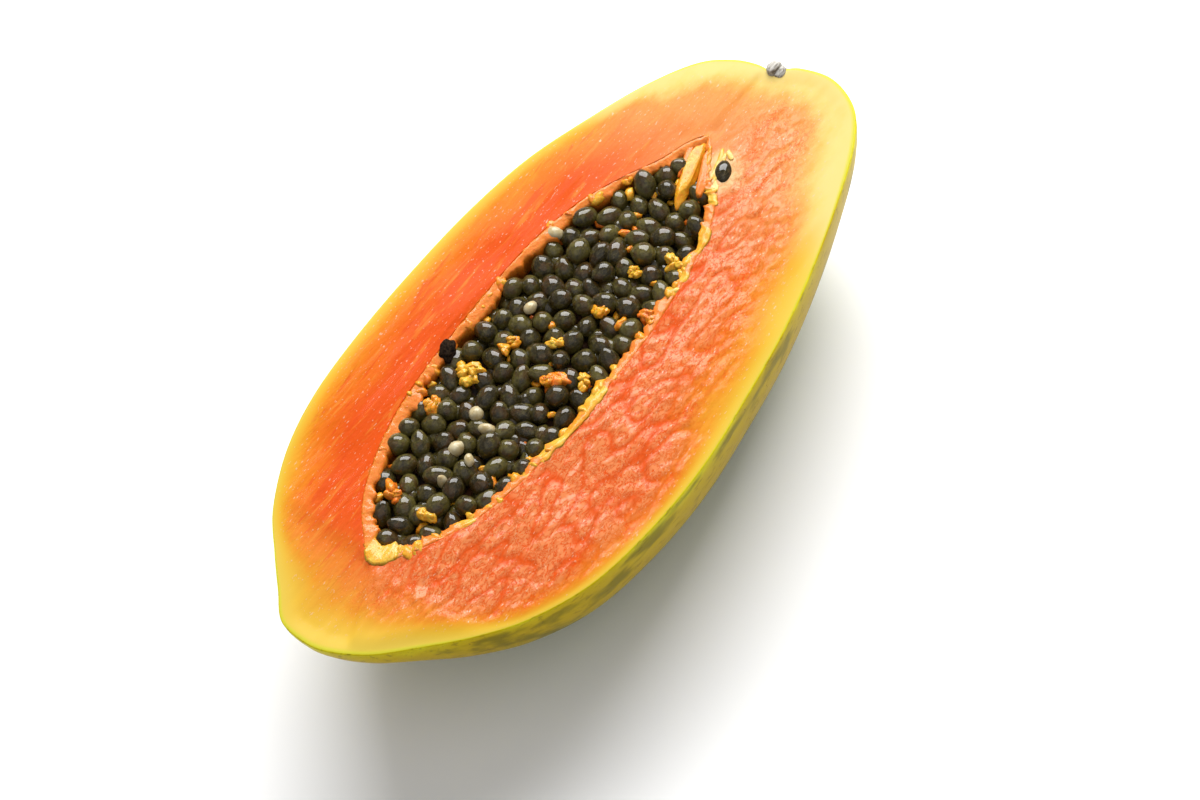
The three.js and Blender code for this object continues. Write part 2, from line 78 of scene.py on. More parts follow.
# Seeds, as in the CAD part
SEED_LONG = 3.4
SEED_WIDE = 2.85
SEED_PITCH = 6.5
SEED_NEAR = 6.1
SEED_SINK = 2.3
SEED_WALL = 2.8
SEED_ROWS = 8
SEED_COLUMNS = 16
SEED_JOG = 0.5
START_MARGIN = 0.6
SETTLE_STEPS = 40
SETTLE_PUSH = 0.3
POST_CLOSE = 0.6
SEED_TILT = 1.2
SEED_SIZES = (0.9, 1.1)
SEED_UPS = 1.6
LUMPS = [
    (-62, 13, 3.2, 0.6), (-34.5, 22, 2.8, 0.8), (-18.5, 20, 3.6, 1), (-8.3, 14.8, 2.6, 1),
    (-1, 4.2, 2.2, 0.4), (-9.5, -1.6, 3.2, 0.6), (14, 0.4, 2.4, 0.2), (29, 0.4, 2.2, 0),
    (38, -7.2, 2.6, 0.2), (19.5, -12.2, 2.8, 0.2), (-62, 1.3, 2.4, 0.4), (-23.2, 18.8, 2.6, 0.8),
    (-11.6, -1.6, 2.2, 0.8), (-5.8, -9.5, 2.2, 0.3), (21.1, -13.8, 2.2, 0.2),
]
PALE_SEEDS = [
    (4.2, 17.4, 2.2, 1.7, 1.4), (-30, 9.4, 2.2, 2.1, 1.2), (-32, 4, 2.6, 1.6, 0.8),
    (-51.2, 4.2, 4, 1.5, 2.1), (-42.4, 1.6, 2, 1.4, 1.6), (27.1, 27.1, 2.6, 2, 0.6),
    (-41.4, 7.5, 2.6, 2.1, 0.9),
]
TONGUE_FROM = (73, 9.4)
TONGUE_TO = (55, 4.4)
TONGUE_RADIUS = 2.1
TONGUE_STEPS = (0, 0.25, 0.5, 0.75, 1)
LONE_SEED_AT = (68.6, -1.4)
LONE_SEED_SINK = 1.1
LONE_SEED_TURN = 0.6
SCAR_AT = (103.6, 5.6)
SCAR_LOBE = 1.9
SCAR_APART = 2.1
SCAR_LENGTH = 5.4
SCAR_SINK = 0.6
SCAR_RISE = 0.9
HOLLOW_STEPS = 224
DRAW_FACTOR = 48271
DRAW_MODULUS = 2147483647
NOISE_APART = 17.3
DISTANCE_BATCH = 2000

# Where each row of random numbers starts
SEED_PLAN_DRAWS = 777
SEED_PLACE_DRAWS = 909
SEED_SHAPE_DRAWS = 313
UNDER_SEED_DRAWS = 606
LUMP_DRAWS = 4021
CRUMB_DRAWS = 8123
LONE_SEED_DRAWS = 55


# Repeatable random numbers
def draws(start):
    state = start
    while True:
        state = state * DRAW_FACTOR % DRAW_MODULUS
        yield state / DRAW_MODULUS


def between(low, high, share):
    return low + (high - low) * share


def eased(value, low, high):
    """0 under low, 1 over high, and a smooth step between."""
    share = np.clip((value - low) / (high - low), 0, 1)
    return share * share * (3 - 2 * share)


# Plan curves
def round_curve(points, share):
    """Points of the smooth closed curve through the given ones, at shares from 0 to 1 round it."""
    knots = np.array(points, float)
    at = (np.asarray(share) % 1.0) * len(knots)
    first = np.floor(at).astype(int)
    f = (at - first)[:, None]
    p0, p1, p2, p3 = (knots[(first + step) % len(knots)] for step in (-1, 0, 1, 2))
    square = 2 * p0 - 5 * p1 + 4 * p2 - p3
    cube = 3 * p1 - p0 - 3 * p2 + p3
    return 0.5 * (2 * p1 + (p2 - p0) * f + square * f**2 + cube * f**3)


def steps_round(count):
    return np.arange(count) / count


RIM_STEPS = 2048
RIM = round_curve(OUTLINE, steps_round(RIM_STEPS))
HOLLOW_EDGE = round_curve(HOLLOW, steps_round(HOLLOW_STEPS))


def rim_sides():
    """The rim's two long sides, each with its stations in rising order."""
    start, end = int(np.argmin(RIM[:, 0])), int(np.argmax(RIM[:, 0]))
    turned = np.roll(RIM, -start, axis=0)
    split = (end - start) % len(RIM)
    near, far = turned[: split + 1], np.vstack([turned[split:], turned[:1]])[::-1]
    return near, far


NEAR_SIDE, FAR_SIDE = rim_sides()


def rind_depth(x, y):
    """Depth of the rind's outside under the cut face."""
    low = np.interp(x, NEAR_SIDE[:, 0], NEAR_SIDE[:, 1])
    high = np.interp(x, FAR_SIDE[:, 0], FAR_SIDE[:, 1])
    half = np.maximum((high - low) / 2, 1e-6)
    across = np.clip((y - (low + high) / 2) / half, -1, 1)
    bow = (1 - np.abs(across) ** SECTION_POWER) ** (1 / SECTION_POWER)
    lobes = 1 - LOBE_DEPTH * (1 - np.cos(LOBES * np.arcsin(across))) / 2
    return DEPTH_RATIO * half * bow * lobes * (1 + BELLY_LEAN * x)


def distance_to(points, curve):
    """Distance of each plan point to the nearest point of a curve."""
    found = np.empty(len(points))
    for start in range(0, len(points), DISTANCE_BATCH):
        part = points[start : start + DISTANCE_BATCH]
        gaps = part[:, None, :] - curve[None, :, :]
        found[start : start + DISTANCE_BATCH] = np.sqrt((gaps**2).sum(axis=2).min(axis=1))
    return found


def inset_plan(plan, inset):
    """Plan points moved by the inset towards the line along the hollow's middle."""
    (ax, ay), (bx, by) = HOLLOW_SPINE
    share = np.clip((plan[:, 0] - ax) / (bx - ax), 0, 1)
    way = np.stack([ax + share * (bx - ax), ay + share * (by - ay)], axis=1) - plan
    return plan + way / np.linalg.norm(way, axis=1)[:, None] * np.asarray(inset)[:, None]


def hollow_wall(share, angle, inset):
    """Points of the hollow's wall, set in: angle 0 is its edge and a quarter turn its bottom."""
    power = 2 / SECTION_POWER
    out = np.cos(angle) ** power
    down = np.sin(angle) ** power
    plan = inset_plan(round_curve(HOLLOW, share), inset)
    middle = np.array(HOLLOW_MIDDLE)
    plan = middle + (plan - middle) * out[:, None]
    level = CUT_LEVEL - (HOLLOW_DEPTH - inset) * down
    return np.column_stack([plan, level])


def lining_inset(share):
    """Thickness of the lining at a share round the hollow, with the flap at the blossom end."""
    first, second = (np.sin(2 * math.pi * waves * share + RAGGED_START) for waves in RAGGED_WAVES)
    wave = first * second
    near = np.minimum(share, 1 - share) / FLAP_REACH
    return LINING_THICK + LINING_RAGGED * wave**2 + FLAP_WIDTH * np.exp(-near * near)


# Noise on points in millimetres
def noise_at(points, size, seed=0, stretch=(1, 1, 1)):
    """Smooth noise from -1 to 1 whose bumps are about as wide as the given size."""
    spots = np.asarray(points) / (np.array(stretch) * size) + seed * NOISE_APART
    return np.array([noise.noise(Vector(spot)) for spot in spots.tolist()])


# Meshes
def deselect():
    bpy.ops.object.select_all(action="DESELECT")


def added(name):
    """The object that an operator has just added, with its new name."""
    piece = bpy.context.object
    piece.name = name
    piece.data.name = name
    return piece


def points_of(piece):
    flat = np.empty(len(piece.data.vertices) * 3)
    piece.data.vertices.foreach_get("co", flat)
    return flat.reshape(-1, 3)


def set_points(piece, points):
    piece.data.vertices.foreach_set("co", np.asarray(points, float).ravel())
    piece.data.update()


def in_frame(points):
    return (np.asarray(points) + PLAN_SHIFT) * MM


def mark(piece, name, values):
    """A value at each vertex, which the materials read by its name."""
    layer = piece.data.attributes.new(name, "FLOAT", "POINT")
    layer.data.foreach_set("value", np.asarray(values, float))


BALLS = {}


def new_ball(around, rings):
    deselect()
    bpy.ops.mesh.primitive_uv_sphere_add(segments=around, ring_count=rings, radius=1)
    piece = added("ball")
    spots = points_of(piece)
    turn = np.arctan2(spots[:, 1], spots[:, 0])
    share = ((turn - math.pi) / (2 * math.pi)) % 1.0
    share = np.round(share * around) / around % 1.0
    row = np.round(np.arccos(np.clip(spots[:, 2], -1, 1)) / math.pi * rings).astype(int)
    bpy.context.scene.collection.objects.unlink(piece)
    return piece, share, row


def ball(name, around, rings):
    """A unit ball, with each vertex's share round it and its row, which is 0 at the top."""
    if (around, rings) not in BALLS:
        BALLS[around, rings] = new_ball(around, rings)
    first, share, row = BALLS[around, rings]
    piece = first.copy()
    piece.data = first.data.copy()
    piece.name = name
    piece.data.name = name
    bpy.context.scene.collection.objects.link(piece)
    return piece, share.copy(), row.copy()


def smooth(piece):
    deselect()
    piece.select_set(True)
    bpy.context.view_layer.objects.active = piece
    bpy.ops.object.shade_smooth()


def joined(pieces, name):
    deselect()
    for piece in pieces:
        piece.select_set(True)
    bpy.context.view_layer.objects.active = pieces[0]
    bpy.ops.object.join()
    return added(name)


# Fruit: rind and flesh in one piece
FRUIT_ROUND = 720
WALL_ROWS = 7
FACE_ROWS = 62
RIM_ROWS = 3
RIND_ROWS = 30
RIM_ROUNDING = 0.45
NOTCH_AT = 6.4
NOTCH_WIDE = 3.4
NOTCH_DEEP = 1.8
NOTCH_ALONG = (98, 106)
NOTCH_UNDER = 10
WITHIN_BOX = 0.9965
ON_WALL, ON_FACE, ON_BEND, ON_RIND = 0, 1, 2, 3

# Yellow band under the skin: widths, and the stretch along x or -y over which each comes in
BAND_WIDE = 3.6
BAND_THIN = 1.6
BAND_THIN_FROM = (0, 20)
BAND_NEAR = 5
BAND_NEAR_FROM = (-6, 26)
BAND_NEAR_LEAST = 0.15
BAND_TO_STEM = (-30, 40)
BAND_STEM = 7
BAND_STEM_FROM = (66, 100)
BAND_BLOSSOM = 12
BAND_BLOSSOM_FROM = (70, 104)
BAND_BLOSSOM_SIDE = (-44, 0)
BAND_WOBBLE = 0.35

# Seams from the hollow's two ends: where they begin, their line, the step and its sharpness
STEM_SEAM_FROM = (70, 78)
STEM_SEAM_Y = 9.5
STEM_SEAM_STEP = 0.25
BLOSSOM_SEAM_FROM = (78, 84)
BLOSSOM_SEAM_AT = (-81, 5)
BLOSSOM_SEAM_LEAN = 0.5
BLOSSOM_SEAM_STEP = 0.45
SEAM_SHARP = 1.2

# Flesh: ripeness on the wall, where it is torn or peach coloured, and its relief
RIPE_WALL = 4
TORN_SIDE = (-14, 12)
TORN_RIPE = (0.5, 1.9)
PEACH_STEM = (40, 82)
PEACH_BLOSSOM = (70, 95)
PEACH_BLOSSOM_SHARE = 0.35
CALM_RIM = (0.3, 6)
CALM_EDGE = (0, 2.5)
BROAD_WAVE = 0.5
SMALL_WAVE = 0.2
STREAK_HIGH = 0.1
PIT_DEEP = 0.2
CREASE_DEEP = 0.2
CREASE_SHARP = 5


def fruit_rows(share, row):
    """Where each vertex of the ball goes on the fruit, from the hollow's bottom to the rind's."""
    rim = round_curve(OUTLINE, share)
    edge = round_curve(HOLLOW, share)
    spots = np.empty((len(share), 3))
    zones = np.empty(len(share))

    wall = row <= WALL_ROWS
    angle = np.clip((1 - row / WALL_ROWS) * math.pi / 2, 0, math.pi / 2)
    spots[wall] = hollow_wall(share[wall], angle[wall], np.zeros(wall.sum()))
    zones[wall] = ON_WALL

    face = (row > WALL_ROWS) & (row <= WALL_ROWS + FACE_ROWS)
    out = (row - WALL_ROWS) / FACE_ROWS
    way = rim - edge
    long = np.linalg.norm(way, axis=1)
    reach = 1 - RIM_ROUNDING / long
    plan = edge + way * (out * reach)[:, None]
    spots[face] = np.column_stack([plan, np.full(len(plan), CUT_LEVEL)])[face]
    zones[face] = ON_FACE

    bend = (row > WALL_ROWS + FACE_ROWS) & (row < WALL_ROWS + FACE_ROWS + RIM_ROWS)
    turn = (row - WALL_ROWS - FACE_ROWS) / RIM_ROWS * math.pi / 2
    back = (RIM_ROUNDING * (1 - np.sin(turn)) / long)[:, None]
    plan = rim - way * back
    level = CUT_LEVEL - RIM_ROUNDING * (1 - np.cos(turn))
    spots[bend] = np.column_stack([plan, level])[bend]
    zones[bend] = ON_BEND

    first = WALL_ROWS + FACE_ROWS + RIM_ROWS
    rind = row >= first
    last = row.max()
    angle = (last - row) / (last - first) * math.pi / 2
    grown = np.clip(np.sin(np.clip(angle, 0, math.pi / 2)), 0, 1) ** (2 / SECTION_POWER)
    plan = rim * grown[:, None]
    level = CUT_LEVEL - np.maximum(rind_depth(plan[:, 0], plan[:, 1]), RIM_ROUNDING)
    spots[rind] = np.column_stack([plan, np.maximum(level, 0)])[rind]
    zones[rind] = ON_RIND
    return spots, zones


def band_width(x, y):
    """Width of the yellow band under the skin: narrow on the far side, wide at both ends."""
    to_stem = eased(x, *BAND_TO_STEM)
    near_side = BAND_NEAR * eased(-y, *BAND_NEAR_FROM) * between(BAND_NEAR_LEAST, 1, to_stem)
    stem_end = BAND_STEM * eased(x, *BAND_STEM_FROM)
    blossom_end = BAND_BLOSSOM * eased(-x, *BAND_BLOSSOM_FROM) * eased(-y, *BAND_BLOSSOM_SIDE)
    thin = BAND_THIN * eased(-y, *BAND_THIN_FROM) * (1 - to_stem)
    return BAND_WIDE - thin + near_side + stem_end + blossom_end


def seam_step(x, y):
    """A low step in the flesh on the line from each end of the hollow to the fruit's ends."""
    tip_x, tip_y = BLOSSOM_SEAM_AT
    to_stem = eased(x, *STEM_SEAM_FROM) * np.tanh((y - STEM_SEAM_Y) / SEAM_SHARP)
    line = tip_y + (x - tip_x) * BLOSSOM_SEAM_LEAN
    to_blossom = eased(-x, *BLOSSOM_SEAM_FROM) * np.tanh((y - line) / SEAM_SHARP)
    return STEM_SEAM_STEP * to_stem - BLOSSOM_SEAM_STEP * to_blossom


def mark_flesh(piece, spots, zones, from_rim):
    """Marks the fruit for its finish, and gives how torn the flesh is at each vertex."""
    x, y = spots[:, 0], spots[:, 1]
    wobble = noise_at(spots, 13, 8, (1.8, 1, 1)) * eased(from_rim, 1, 5)
    ripe = from_rim / band_width(x, y) * (1 + BAND_WOBBLE * wobble)
    torn = eased(-y, *TORN_SIDE) * eased(ripe, *TORN_RIPE)
    outside = zones >= ON_BEND
    mark(piece, "ripe", np.where(zones == ON_FACE, ripe, np.where(zones == ON_WALL, RIPE_WALL, 0)))
    mark(piece, "rind", np.where(outside, 1, 0))
    mark(piece, "below", np.where(outside, CUT_LEVEL - spots[:, 2], 0))
    mark(piece, "torn", torn)
    mark(piece, "from_seed", np.hypot(x - LONE_SEED_AT[0], y - LONE_SEED_AT[1]))
    peach = eased(x, *PEACH_STEM) + PEACH_BLOSSOM_SHARE * eased(-x, *PEACH_BLOSSOM)
    mark(piece, "peach", peach)
    return torn


def flesh_relief(spots, torn, from_rim):
    """How far the cut face stands up or down at each vertex, and how creased it is there."""
    from_edge = distance_to(spots[:, :2], HOLLOW_EDGE)
    calm = eased(from_rim, *CALM_RIM) * eased(from_edge, *CALM_EDGE)
    waves = BROAD_WAVE * noise_at(spots, 22, 1) + SMALL_WAVE * noise_at(spots, 8, 2, (1.8, 1, 1))
    streaks = noise_at(spots, 2.4, 3, (6, 1, 1))
    pits = noise_at(spots, 1.9, 4, (1.5, 1, 1))
    creases = np.clip(1 - np.abs(noise_at(spots, 5, 9, (2.4, 1, 1))) * CREASE_SHARP, 0, 1)
    relief = STREAK_HIGH * streaks + torn * (PIT_DEEP * pits - CREASE_DEEP * creases)
    return calm * (waves + relief + seam_step(spots[:, 0], spots[:, 1])), creases * torn


def cut_notch(spots):
    """The small notch in the rim beside the stalk remnant."""
    across = np.exp(-(((spots[:, 1] - NOTCH_AT) / NOTCH_WIDE) ** 2))
    near_end = eased(spots[:, 0], *NOTCH_ALONG)
    near_top = eased(spots[:, 2], CUT_LEVEL - NOTCH_UNDER, CUT_LEVEL)
    spots[:, 0] -= NOTCH_DEEP * across * near_end * near_top


def make_fruit():
    rows = WALL_ROWS + FACE_ROWS + RIM_ROWS + RIND_ROWS
    piece, share, row = ball("papaya_half", FRUIT_ROUND, rows)
    spots, zones = fruit_rows(share, row)
    from_rim = distance_to(spots[:, :2], RIM)
    torn = mark_flesh(piece, spots, zones, from_rim)
    lift, crease = flesh_relief(spots, torn, from_rim)
    mark(piece, "crease", crease)
    spots[:, 2] += np.where(zones == ON_FACE, lift, 0)
    cut_notch(spots)
    spots[:, :2] *= WITHIN_BOX
    set_points(piece, in_frame(spots))
    smooth(piece)
    return piece


# Lining
LINING_ROUND = 560
LINING_OUT_ROWS = 5
LINING_LIP_ROWS = 8
LINING_IN_ROWS = 26
SHELF_WIDE = 1.7
SHELF_LEAST = 0.2
SHELF_MOST = 1.6
SHELF_ROWS = (0.8, 1)
LIP_LONG = 400
LIP_WOBBLE = 0.8
LIP_OVER = 1.1
LIP_TOP = 0.75
LIP_DOWN = 4
LIP_START = -0.6
LIP_FAR_RISE = -0.06
LIP_NEAR_RISE = 0.03
LIP_FAR_SWELL = 0.02
LIP_NEAR_SWELL = 0.22
LIP_TORN = (-0.05, 0.3)
LIP_FROM = (0.02, 0.06)
LIP_UNTIL = 0.56
LIP_FADE = 0.04
LIP_TIP = (0.46, 0.485)
EDGE_SINK = 0.35
EDGE_TORN_SINK = 0.5
BACK_SINK = 1.2
BULGE = (0.25, 0.7)
BULGE_FROM = (0.2, 2)
BUMPS_HIGH = 0.22
TORN_BLEND = 1.2
PALE_SIDE = (-13, 2)
PALE_PATCHY = (-0.35, 0.3)
PALE_FLAP = (58, 72)
PALE_LEAST = 0.15
PALE_SHARES = (0.15, 0.8)
PALE_FLAP_SHARE = 0.5


def lip_line(share):
    """Points on a straight line as long as the lip, on which its noises are read."""
    return np.column_stack([share * LIP_LONG, share * 0, share * 0])


def lip_rags(share):
    """Raggedness of the lip round the hollow, coarse and fine."""
    along = lip_line(share)
    return noise_at(along, 7, 5) + 0.8 * noise_at(along, 2.6, 15) + 0.4 * noise_at(along, 1.1, 25)


def lip_shown(share):
    """1 in patches on the near side, where the lip lies over the flesh, and 0 where it is torn."""
    along = lip_line(share)
    patches = eased(noise_at(along, 13, 35) + 0.5 * noise_at(along, 4, 36), *LIP_TORN)
    near = eased(share, *LIP_FROM) * eased(LIP_UNTIL - share, 0, LIP_FADE)
    tip = eased(np.abs(share - 0.5), *LIP_TIP)
    return np.clip(patches * near + tip, 0, 1)


def quarter_turn(share):
    """An angle from 0 to a quarter turn."""
    return np.clip(share * math.pi / 2, 0, math.pi / 2)


def lining_inside(share, row, inset, shown):
    """The side of the lining that faces the seeds, from its bottom up to the lip."""
    angle = quarter_turn(1 - row / LINING_IN_ROWS)
    spots = hollow_wall(share, angle, inset)
    spots[:, 2] -= (EDGE_SINK + EDGE_TORN_SINK * (1 - shown)) * (1 - np.sin(angle))
    return spots


def lining_lip(share, row, inset, rags, shown):
    """The lip: up out of the hollow, over its edge where it shows, and down behind it."""
    over = (row - LINING_IN_ROWS) / LINING_LIP_ROWS
    outermost = -between(0, LIP_OVER, shown) * (0.7 + 0.5 * rags)
    up = between(inset, outermost, over / LIP_TOP)
    down = between(outermost, GAP, over * LIP_DOWN - (LIP_DOWN - 1))
    bow = np.sin(np.clip(over / LIP_TOP, 0, 1) * math.pi)
    swell = between(LIP_FAR_SWELL, LIP_NEAR_SWELL, shown) * (1 + rags) * bow
    level = between(LIP_FAR_RISE, LIP_NEAR_RISE, shown)
    rise = between(LIP_START, level, np.clip(over * 2, 0, 1)) + swell
    rise = np.where(over > LIP_TOP, -(over - LIP_TOP) * LIP_DOWN, rise)
    plan = inset_plan(round_curve(HOLLOW, share), np.where(over < LIP_TOP, up, down))
    return np.column_stack([plan, CUT_LEVEL + rise])


def lining_back(share, row):
    """The side of the lining that lies on the flesh."""
    angle = quarter_turn((row - LINING_IN_ROWS - LINING_LIP_ROWS) / LINING_OUT_ROWS)
    spots = hollow_wall(share, angle, np.full(len(share), GAP))
    spots[:, 2] -= BACK_SINK * np.cos(angle)
    return spots


def lining_spots(share, row, shown):
    rags = lip_rags(share)
    shelf = (1 - shown) * SHELF_WIDE * np.clip(0.8 + 0.6 * rags, SHELF_LEAST, SHELF_MOST)
    inset = lining_inset(share) + LIP_WOBBLE * rags
    inset = inset + shelf * eased(row / LINING_IN_ROWS, *SHELF_ROWS)
    inner = row <= LINING_IN_ROWS
    outer = row >= LINING_IN_ROWS + LINING_LIP_ROWS
    spots = lining_lip(share, row, inset, rags, shown)
    spots[inner] = lining_inside(share[inner], row[inner], inset[inner], shown[inner])
    spots[outer] = lining_back(share[outer], row[outer])
    return spots, ~outer


def soften(spots, soft):
    """Lumpy bulges and small bumps on the sides of the lining that show."""
    low = eased(CUT_LEVEL - spots[:, 2], *BULGE_FROM)
    bulge = soft * (BULGE[0] + BULGE[1] * low) * noise_at(spots, 2.6, 6)
    plan = inset_plan(spots[:, :2], bulge)
    spots[:, :2] = np.where(soft[:, None], plan, spots[:, :2])
    spots[:, 2] += soft * noise_at(spots, 1.5, 7) * BUMPS_HIGH


def mark_lining(piece, spots, row, shown):
    near_top = (1 - shown) * eased(row / LINING_IN_ROWS, *SHELF_ROWS)
    mark(piece, "depth", CUT_LEVEL - spots[:, 2])
    mark(piece, "blend_in", np.where(row > LINING_IN_ROWS, TORN_BLEND - shown, near_top))
    near_side = eased(-spots[:, 1], *PALE_SIDE)
    patchy = eased(noise_at(spots, 11, 16), *PALE_PATCHY)
    flap = PALE_FLAP_SHARE * eased(-spots[:, 0], *PALE_FLAP)
    mark(piece, "pale", PALE_LEAST + near_side * between(*PALE_SHARES, patchy) + flap)


def make_lining():
    rows = LINING_OUT_ROWS + LINING_LIP_ROWS + LINING_IN_ROWS
    piece, share, row = ball("pulp_lining", LINING_ROUND, rows)
    shown = lip_shown(share)
    spots, soft = lining_spots(share, row, shown)
    soften(spots, soft)
    mark_lining(piece, spots, row, shown)
    set_points(piece, in_frame(spots))
    smooth(piece)
    return piece


# Seeds
def inside_hollow(x, y):
    """Distance of a plan point inside the hollow's edge, with the inward direction there."""
    far = (HOLLOW_EDGE[:, 0] - x) ** 2 + (HOLLOW_EDGE[:, 1] - y) ** 2
    at = int(np.argmin(far))
    before = HOLLOW_EDGE[at - 1]
    after = HOLLOW_EDGE[(at + 1) % len(HOLLOW_EDGE)]
    along = after - before
    inward = np.array([-along[1], along[0]]) / np.hypot(*along)
    return float((np.array([x, y]) - HOLLOW_EDGE[at]) @ inward), inward


def seed_start():
    """Plan places of the upper seeds before they settle: a jogged grid of rows."""
    draw = draws(SEED_PLAN_DRAWS)
    margin = LINING_THICK + SEED_WALL
    kept = []
    for row in range(-SEED_ROWS, SEED_ROWS + 1):
        for step in range(-SEED_COLUMNS, SEED_COLUMNS + 1):
            jog_x = (next(draw) - 0.5) * SEED_PITCH * SEED_JOG
            jog_y = (next(draw) - 0.5) * SEED_PITCH * SEED_JOG
            x = (step + (row & 1) / 2) * SEED_PITCH + jog_x
            y = HOLLOW_MIDDLE[1] + row * SEED_PITCH * math.sqrt(0.75) + jog_y
            if inside_hollow(x, y)[0] > margin * START_MARGIN:
                kept.append((x, y))
    return np.array(kept)


def seed_posts():
    """What the seeds keep away from: x, y and how near a seed's middle may come."""
    lumps = [(x, y, radius + SEED_WIDE * POST_CLOSE) for x, y, radius, rise in LUMPS]
    pale = [(x, y, wide + SEED_WIDE * POST_CLOSE) for x, y, long, wide, rise in PALE_SEEDS]
    tongue = [
        (
            between(TONGUE_FROM[0], TONGUE_TO[0], share),
            between(TONGUE_FROM[1], TONGUE_TO[1], share),
            TONGUE_RADIUS + SEED_WIDE,
        )
        for share in TONGUE_STEPS
    ]
    return np.array(lumps + pale + tongue)


def pushes(spot, others, near):
    """The push on a seed away from all others that are too near."""
    way = spot - others
    far = np.linalg.norm(way, axis=1)
    close = (far < near) & (far > 0)
    far = np.where(close, far, 1)
    return (way / far[:, None] * ((near - far) * SETTLE_PUSH * close)[:, None]).sum(axis=0)


def seed_plan():
    """Plan places of the upper seeds once they have pushed each other apart."""
    seeds = seed_start()
    posts = seed_posts()
    margin = LINING_THICK + SEED_WALL
    for settle in range(SETTLE_STEPS):
        moved = []
        for spot in seeds:
            push = pushes(spot, seeds, SEED_NEAR) + pushes(spot, posts[:, :2], posts[:, 2])
            depth, inward = inside_hollow(*spot)
            moved.append(spot + push + inward * max(margin - depth, 0))
        seeds = np.array(moved)
    return seeds


SEEDS = seed_plan()
SEED_AROUND = 22
SEED_RINGS = 15
UNDER_AROUND = 8
UNDER_RINGS = 5
UNDER_SINK = 6.4
UNDER_UPS = 1.4
UNDER_TILT = 2
UNDER_SEEDS = 110
UNDER_CLEAR = 2.6
UNDER_WALL = 4.5
SEED_UPS_MORE = 1.8
SEED_STRAY = 1.3
SEED_DRAWN = (-0.04, 0.2)
SEED_LONGER = 1.08
SEED_WIDER = 1.13
SEED_THINNED = 0.6
SEED_TILT_MORE = 1.3
SEED_TAPER = (0.02, 0.24)
SEED_BLUNT = 0.05
DENT_DEEP = 0.06
FOLD_DEEP = 0.08
SMALL_FOLDS = 0.2
NEAR_SINK = 0.9
NEAR_SINK_FROM = (-4, 12)
GAP_ALONG = (-78, 72)
GAP_ACROSS = (-16, 31)
CORE_AROUND = 96
CORE_ROWS = 12
CORE_UNDER = 7
DRY_SEED_AT = (-19, 28.6)
DRY_SEED_SINK = 0.6
DRY_SEED_RADII = (3.4, 2.5, 2.2)
DENT_STARTS = 9
FOLD_STARTS = 90
HEADINGS = 3


def seed_shape(draw, around, rings):
    """One seed about its own middle: a ball drawn out to a blunt point, with a wrinkled skin."""
    piece, share, row = ball("seed", around, rings)
    spots = points_of(piece)
    along = spots[:, 2].copy()
    taper = 1 - between(*SEED_TAPER, next(draw)) * along - SEED_BLUNT * along**2
    dents = noise_at(spots, 0.8, next(draw) * DENT_STARTS)
    seed = next(draw) * FOLD_STARTS
    folds = np.abs(noise_at(spots, 0.5, seed, (1, 1, 1.8)))
    folds = folds + SMALL_FOLDS * np.abs(noise_at(spots, 0.25, seed))
    skin = 1 + DENT_DEEP * dents - FOLD_DEEP * folds
    spots[:, :2] *= (taper * skin)[:, None]
    spots[:, 2] *= skin
    return piece, spots


def make_seed(middle, turn, radii, draw, around=SEED_AROUND, rings=SEED_RINGS):
    """A seed with its long axis turned out of +X, as the CAD's seeds are."""
    piece, spots = seed_shape(draw, around, rings)
    lying = np.array(Euler((0, math.pi / 2, 0)).to_matrix())
    turned = (spots * (radii[1], radii[1], radii[0])) @ lying.T @ np.array(turn).T
    # Height on the seed, from which the seed finish paints shade on top and light on the lower
    # sides.
    mark(piece, "top", turned[:, 2] / radii[1])
    mark(piece, "shade", np.full(len(spots), next(draw)))
    set_points(piece, in_frame(turned + middle))
    return piece


def make_seeds():
    """The upper layer of seeds."""
    place = draws(SEED_PLACE_DRAWS)
    shape = draws(SEED_SHAPE_DRAWS)
    pieces = []
    for x, y in SEEDS:
        heading = next(place) * math.pi
        pitch = (next(place) - 0.5) * SEED_TILT
        size = between(*SEED_SIZES, next(place))
        level = CUT_LEVEL - SEED_SINK + (next(place) - 0.5) * SEED_UPS
        level -= next(shape) * SEED_UPS_MORE + NEAR_SINK * eased(-y, *NEAR_SINK_FROM)
        x += (next(shape) - 0.5) * SEED_STRAY
        y += (next(shape) - 0.5) * SEED_STRAY
        drawn = between(*SEED_DRAWN, next(shape))
        long = SEED_LONG * size * (SEED_LONGER + drawn)
        wide = SEED_WIDE * size * (SEED_WIDER - drawn * SEED_THINNED)
        turn = Euler((0, pitch * SEED_TILT_MORE, heading)).to_matrix()
        pieces.append(make_seed((x, y, level), turn, (long, wide), shape))
    piece = joined(pieces, "dark_seeds")
    smooth(piece)
    return piece


def gap_spots(draw, count, near, wall):
    """Plan places between the upper seeds: no nearer than that to a seed's middle."""
    found = []
    while len(found) < count:
        x = between(*GAP_ALONG, next(draw))
        y = between(*GAP_ACROSS, next(draw))
        clear = np.hypot(*(SEEDS - (x, y)).T).min() > near
        apart = all(math.hypot(x - ox, y - oy) > near for ox, oy in found)
        if clear and apart and inside_hollow(x, y)[0] > wall:
            found.append((x, y))
    return found


def make_under_seeds():
    """The next layer of seeds, which shows in the gaps."""
    draw = draws(UNDER_SEED_DRAWS)
    pieces = []
    for x, y in gap_spots(draw, UNDER_SEEDS, UNDER_CLEAR, UNDER_WALL):
        size = between(*SEED_SIZES, next(draw))
        radii = (SEED_LONG * size, SEED_WIDE * size)
        level = CUT_LEVEL - UNDER_SINK + next(draw) * UNDER_UPS
        turn = Euler((0, (next(draw) - 0.5) * UNDER_TILT, next(draw) * HEADINGS)).to_matrix()
        pieces.append(make_seed((x, y, level), turn, radii, draw, UNDER_AROUND, UNDER_RINGS))
    piece = joined(pieces, "under_seeds")
    smooth(piece)
    return piece


